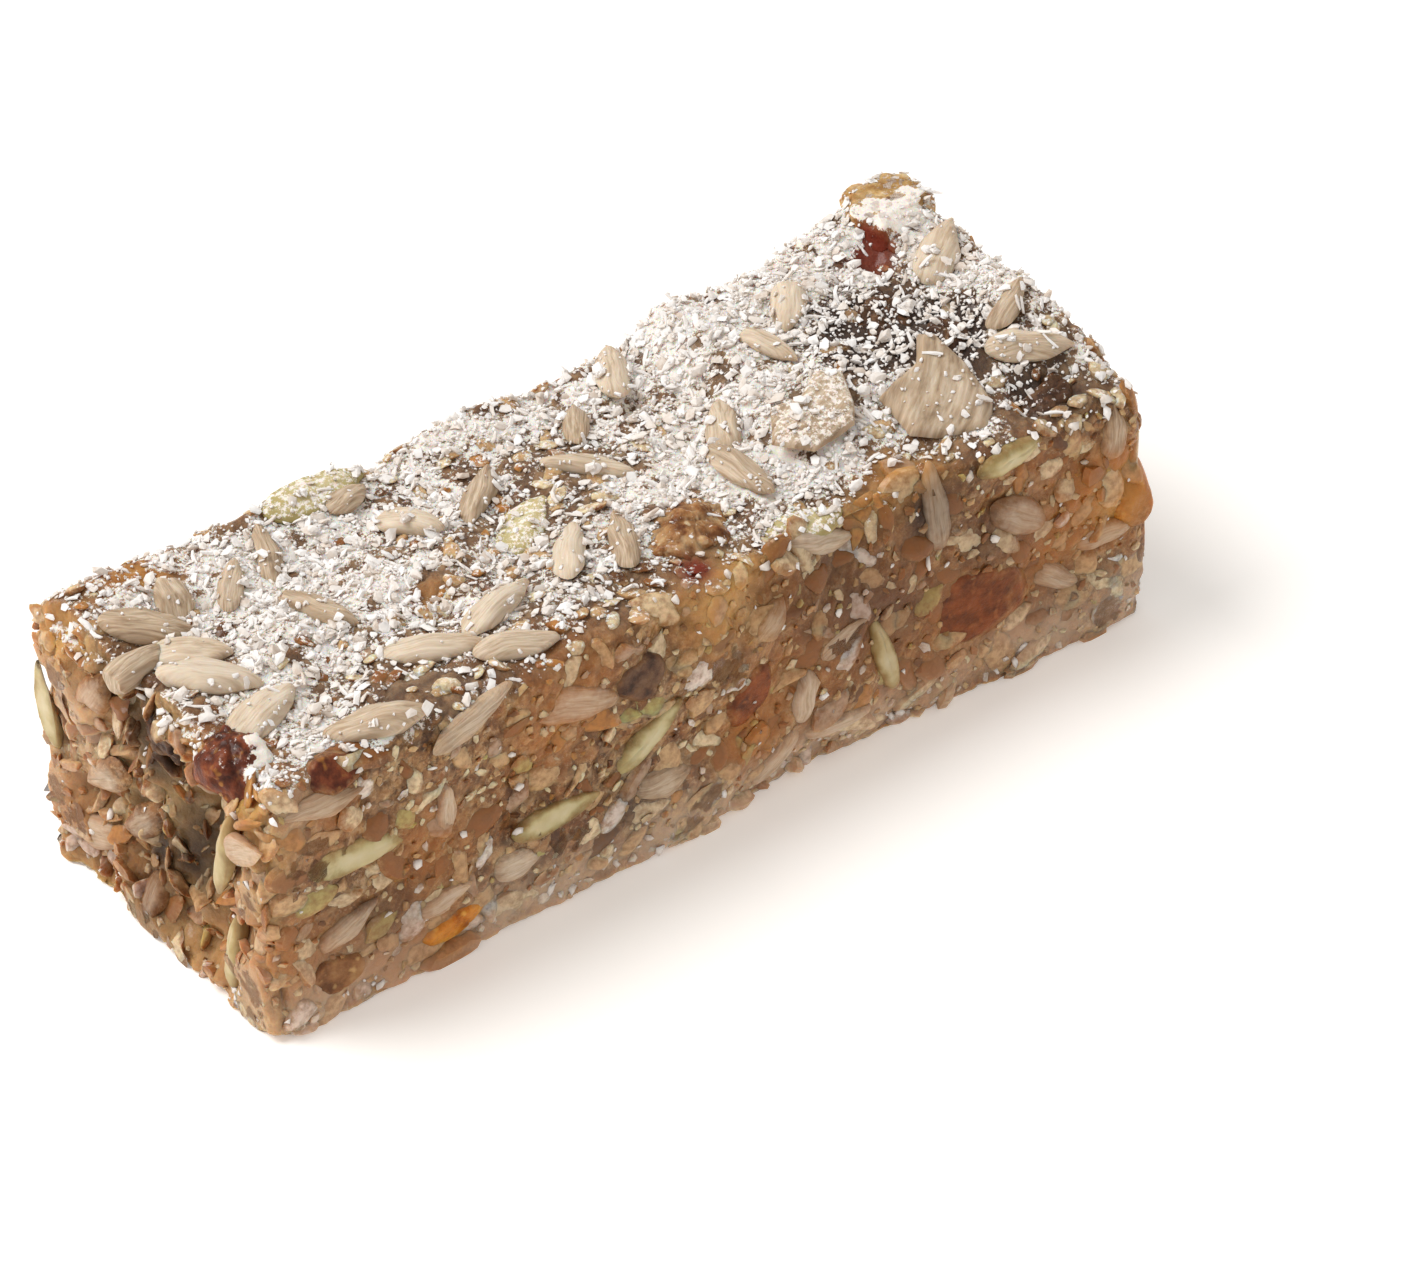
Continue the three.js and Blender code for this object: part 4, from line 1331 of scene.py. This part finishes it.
# Places of the top with less coconut: x, y, reach along x and y, how much less
BARE = [
    (-10, -17.5, 13, 3.5, 0.75), (20, -17, 14, 3.5, 0.7), (41, -14.5, 5, 2.6, 0.7),
    (2.5, -10, 4.5, 3.5, 0.4), (-21, 16.5, 7, 3, 0.5), (-8, 1, 5, 3, 0.35), (44, 13.5, 5, 4, 0.5),
    (47, -5, 4, 5, 0.2), (-30, -14.5, 4, 2.5, 0.5), (-46, -10, 4, 4, 0.5), (-3, 5, 6, 5, 0.35),
    (3, 10, 5, 3, 0.25), (14, 9, 3, 3, 0.35), (-31, -10.5, 6, 4.5, 0.5), (-11, -9, 4, 4, 0.25),
    (-41, 14, 4, 3, 0.3), (-41, 1, 4, 5, 0.4), (-26, -8, 7, 5, 0.25), (3.5, -17.5, 4, 2, 0.5),
    (23, -15.5, 3, 2.5, 0.6), (-21, 4, 3, 4, 0.35), (-48, 5, 3, 8, 0.4), (-19, -2, 3, 3, 0.4),
    (-0.6, -14.4, 2, 1.6, 0.8), (39.4, 9.9, 2.3, 2.3, 1),
]
# Places with more of it
DEEP = [
    (27, 13, 11, 6, 0.9), (-28, 3, 9, 8, 0.45), (14, -6, 7, 5, 0.45), (-38, -8, 5, 5, 0.35),
    (38, 14, 4, 4, 0.4), (5, 14.5, 8, 3, 0.3), (10, -2, 7, 4, 0.5), (45.5, 2, 3, 6, 0.6),
    (-29, 9, 5, 4, 0.3), (16, -3, 5, 4, 0.5), (39.5, 4.5, 2.5, 3, 0.5),
]

# Share of the coconut aimed at each kind of ground that stays on it
HOLDS = {
    "mash": 1, "crumb": 0.8, "lying": 0.1, "cut": 0.1, "shard": 0.15, "pumpkin": 0.6, "coconut": 0.8,
    "raisin": 1, "peak": 0.9, "cherry": 0.25, "cranberry": 0.1, "apricot": 0.1, "fig": 0.2,
}
RIM_HOLDS = 0.8  # the same for the steep rim of a kernel
RIM_FACING = 0.7  # the ground faces outward less than this there
LEAST_FACING = 0.2  # and less than this where nothing stays

# Coconut on the sides: its share anywhere, and how much more at the foot and under the top edge
SIDE_SHARES = (0.02, 0.5, 0.3)
SIDE_BAND = 3  # height of those bands
SIDE_EDGE = 24  # where the upper one starts
SIDE_CLUMP = 6  # size of the clumps at the foot
SIDE_SLICE = 5  # where their noise is cut
SIDE_SHARP = 3  # how sharply they end

# Granules, fines and shreds: half widths, and length and thickness as shares of the width. A granule's
# half width is given as the least and how much more at most, and a shred's half length in millimetres
GRAIN_HALF = (0.17, 0.5)
FINE_HALF = (0.1, 0.22)
SHRED_HALF = (0.12, 0.22)
SHRED_LENGTH = (0.45, 1.1)
LENGTHS = (1, 1.6)
FLAT = (0.3, 0.6)
THICK = (0.6, 1)
GRAIN_PULL = (0.45, 1.25)  # how far the corners of a granule are pulled
SHRED_BEND = 0.3  # how far shreds bend and twist at most
SHRED_TWIST = 1.2
SHRED_TAPER = 0.45
SHRED_SWAY = 6  # a bend's share of the half thickness that the ends move aside by


def coconut_density(x, y):
    """Share of the top that coconut covers, from 0 to 1."""
    share = np.full(np.shape(x), SHARE)
    for sign, patches in ((-1, BARE), (1, DEEP)):
        for at_x, at_y, reach_x, reach_y, amount in patches:
            share += sign * amount * np.exp(-(((x - at_x) / reach_x) ** 2) - ((y - at_y) / reach_y) ** 2)
    return np.clip(share, LEAST_SHARE, 1)


def patchy(u, v):
    """Clumps and gaps of the coconut."""
    return USUAL_CLUMP + noise.fractal(Vector((u, v, 0)) / CLUMP, *CLUMPING)


def side_density(u, v):
    """The same for the sides, where most is at the foot and under the top edge."""
    usual, foot, edge = SIDE_SHARES
    clump = ease(noise.noise(Vector((u, v, SIDE_SLICE)) / SIDE_CLUMP) * SIDE_SHARP)
    return usual + foot * clump * math.exp(-((v / SIDE_BAND) ** 2)) + edge * ease((v - SIDE_EDGE) / SIDE_BAND)


GRAIN_SPACING = 0.8  # how far apart the coconut is aimed
SHRED_SPACING = 2.2
FINE_SPACING = 0.6
LAST_SPACING = 1.1

# Coconut on the top and on the sides: its share, how far it sinks in, and how pale it is at most
TOP_COCONUT = (coconut_density, 0.2, 1)
SIDE_COCONUT = (side_density, 0.6, 0.25)
# How coconut lies: how far it is tilted by chance, what it points along, and how far it is turned
COCONUT_LIE = (0.35, (1, 0, 0), 3)


def grain_templates(count, rng):
    """Coconut granules: little balls pulled out of shape."""
    points, faces = ball(1)
    shapes = np.array([points * rng.uniform(*GRAIN_PULL, (len(points), 1)) for _ in range(count)])
    return shapes, faces, np.zeros(shapes.shape[:2])


def shred_shape(bend, twist):
    rows = []
    for at in np.linspace(-1, 1, 4):
        thick = 1 - SHRED_TAPER * abs(at)
        c, s = math.cos(twist * at), math.sin(twist * at)
        for y, z in ((1, 1), (-1, 1), (-1, -1), (1, -1)):
            rows.append((at, thick * (c * y - s * z) + SHRED_SWAY * bend * at * at, thick * (s * y + c * z)))
    return rows


def shred_templates(count, rng):
    """Coconut shreds: thin bent strips of four corners, closed at both ends."""
    shapes = []
    for _ in range(count):
        bend = rng.uniform(-SHRED_BEND, SHRED_BEND)
        shapes.append(shred_shape(bend, rng.uniform(-SHRED_TWIST, SHRED_TWIST)))
    shapes = np.array(shapes)
    faces = [(0, 1, 2), (0, 2, 3), (14, 13, 12), (15, 14, 12)]
    for i in range(3):
        for j in range(4):
            a, b = 4 * i + j, 4 * i + (j + 1) % 4
            faces += [(a, a + 4, b + 4), (a, b + 4, b)]
    return shapes, np.array(faces), np.zeros(shapes.shape[:2])


def coconut_seats(face, density, spacing, rng):
    normal = Vector(FACES[face][2])
    seats = []
    for u, v in strewn(face, spacing, rng):
        landed = ground.land(face, u, v)
        if landed is None:
            continue
        point, slope, kind = landed
        facing = slope.dot(normal)
        holds = RIM_HOLDS if kind in ("lying", "cut") and facing < RIM_FACING else HOLDS[kind]
        if rng.random() < density(u, v) * patchy(u, v) * holds and facing > LEAST_FACING:
            seats.append((point, slope))
    return seats


def drop_coconut(heap, templates, face, spacing, sizes_of, rng):
    """Drops one layer of coconut onto a face."""
    density, sunk, palest = TOP_COCONUT if face == "top" else SIDE_COCONUT
    seats = coconut_seats(face, density, spacing, rng)
    sizes = sizes_of(len(seats), rng)
    seats = lifted(seats, (1 - sunk) * sizes[:, 2])
    tints = rng.random(len(seats)) * palest
    points, faces = spread(heap, templates, seats, sizes, tints, tints, *COCONUT_LIE, rng)
    ground.add(points, faces, "coconut")


def grain_sizes(count, rng):
    half = GRAIN_HALF[0] + GRAIN_HALF[1] * rng.random(count) ** 2
    return np.column_stack([half * rng.uniform(*LENGTHS, count), half, half * rng.uniform(*FLAT, count)])


def fine_sizes(count, rng):
    half = rng.uniform(*FINE_HALF, count)
    return np.column_stack([half * rng.uniform(*LENGTHS, count), half, half * rng.uniform(*THICK, count)])


def shred_sizes(count, rng):
    half = rng.uniform(*SHRED_HALF, count)
    return np.column_stack([rng.uniform(*SHRED_LENGTH, count), half, half * rng.uniform(*THICK, count)])


def make_coconut():
    rng = np.random.default_rng(seed=606)
    material = coconut_look()
    grains, shreds, fines, specks = Heap(), Heap(), Heap(), Heap()
    grain_shapes = grain_templates(count=16, rng=rng)
    shred_shapes = shred_templates(count=16, rng=rng)
    drop_coconut(grains, grain_shapes, "top", GRAIN_SPACING, grain_sizes, rng)
    for face in ("front", "back", "left", "right"):
        drop_coconut(specks, grain_shapes, face, GRAIN_SPACING, grain_sizes, rng)
    ground.settle()
    drop_coconut(shreds, shred_shapes, "top", SHRED_SPACING, shred_sizes, rng)
    drop_coconut(fines, grain_shapes, "top", FINE_SPACING, fine_sizes, rng)
    ground.settle()
    drop_coconut(grains, grain_shapes, "top", LAST_SPACING, grain_sizes, rng)
    grains.make("coconut_grains", material, "coconut", smooth=False)
    shreds.make("coconut_shreds", material, "coconut", smooth=False)
    fines.make("coconut_fines", material, "coconut")
    specks.make("coconut_specks", material, "coconut")


# --- camera, floor and lights

# Place and turn of the camera, fitted to the photo: degrees and millimetres
AZIMUTH = -37.31
ELEVATION = 37.13
ROLL = -1.19
DISTANCE = 530.14
AIM = Vector((3.44, -10.29, 13.7))
LENS = 150
SENSOR = 36
CLIP = 0.01  # metres

FLOOR_HALF = 3  # metres
FLOOR_TONES = ("f6f3ef", "f9f6f2")
FLOOR_PATCH = 40  # millimetres
GLOW = 0.22  # light that the floor gives off, as a lit table does
GLOW_COLOUR = (1, 0.94, 0.87, 1)
WHITE = (1, 1, 1, 1)
SKY = 0.6

# Lamps: way from the bar, how far away and how wide in metres, power in watts
LAMPS = {
    "key": ((-0.55, 0.42, 1), 1.3, 0.8, 13),
    "glint": ((-0.1, -0.9, 0.75), 1.3, 0.06, 0.6),
}


def make_camera():
    data = bpy.data.cameras.new("camera")
    data.lens = LENS
    data.sensor_width = SENSOR
    data.sensor_fit = "HORIZONTAL"
    data.clip_start = CLIP
    camera = place_object("camera", data)
    turn, rise = math.radians(AZIMUTH), math.radians(ELEVATION)
    back = Vector((math.sin(turn) * math.cos(rise), -math.cos(turn) * math.cos(rise), math.sin(rise)))
    camera.location = (AIM + back * DISTANCE) * MM
    camera.rotation_mode = "QUATERNION"
    rolled = Quaternion((0, 0, 1), math.radians(ROLL))
    camera.rotation_quaternion = (-back).to_track_quat("-Z", "Y") @ rolled
    bpy.context.scene.camera = camera


def make_floor():
    look = Look("floor", Roughness=0.8, Emission_Color=GLOW_COLOUR, Emission_Strength=GLOW)
    look.give(Base_Color=look.mix(look.noise(FLOOR_PATCH, detail=1), *FLOOR_TONES))
    mesh = bpy.data.meshes.new("floor")
    corners = [(x * FLOOR_HALF, y * FLOOR_HALF, 0) for x, y in ((-1, -1), (1, -1), (1, 1), (-1, 1))]
    mesh.from_pydata(corners, [], [(0, 1, 2, 3)])
    mesh.materials.append(look.material)
    place_object("floor", mesh)


def make_lights():
    world = bpy.data.worlds.new("sky")
    world.use_nodes = True
    background = world.node_tree.nodes["Background"]
    background.inputs["Color"].default_value = WHITE
    background.inputs["Strength"].default_value = SKY
    bpy.context.scene.world = world
    for name, (way, away, size, power) in LAMPS.items():
        data = bpy.data.lights.new(name, "AREA")
        data.shape = "DISK"
        data.size = size
        data.energy = power
        lamp = place_object(name, data)
        way = Vector(way).normalized()
        lamp.location = way * away
        lamp.rotation_mode = "QUATERNION"
        lamp.rotation_quaternion = way.to_track_quat("Z", "Y")


bpy.context.scene.view_settings.view_transform = "Standard"
make_camera()
make_floor()
make_lights()
make_slab()
make_sunflowers(lay_out_fill())
make_pumpkins()
make_shards()
make_fruit()
ground.settle()
make_crumbs()
make_coconut()
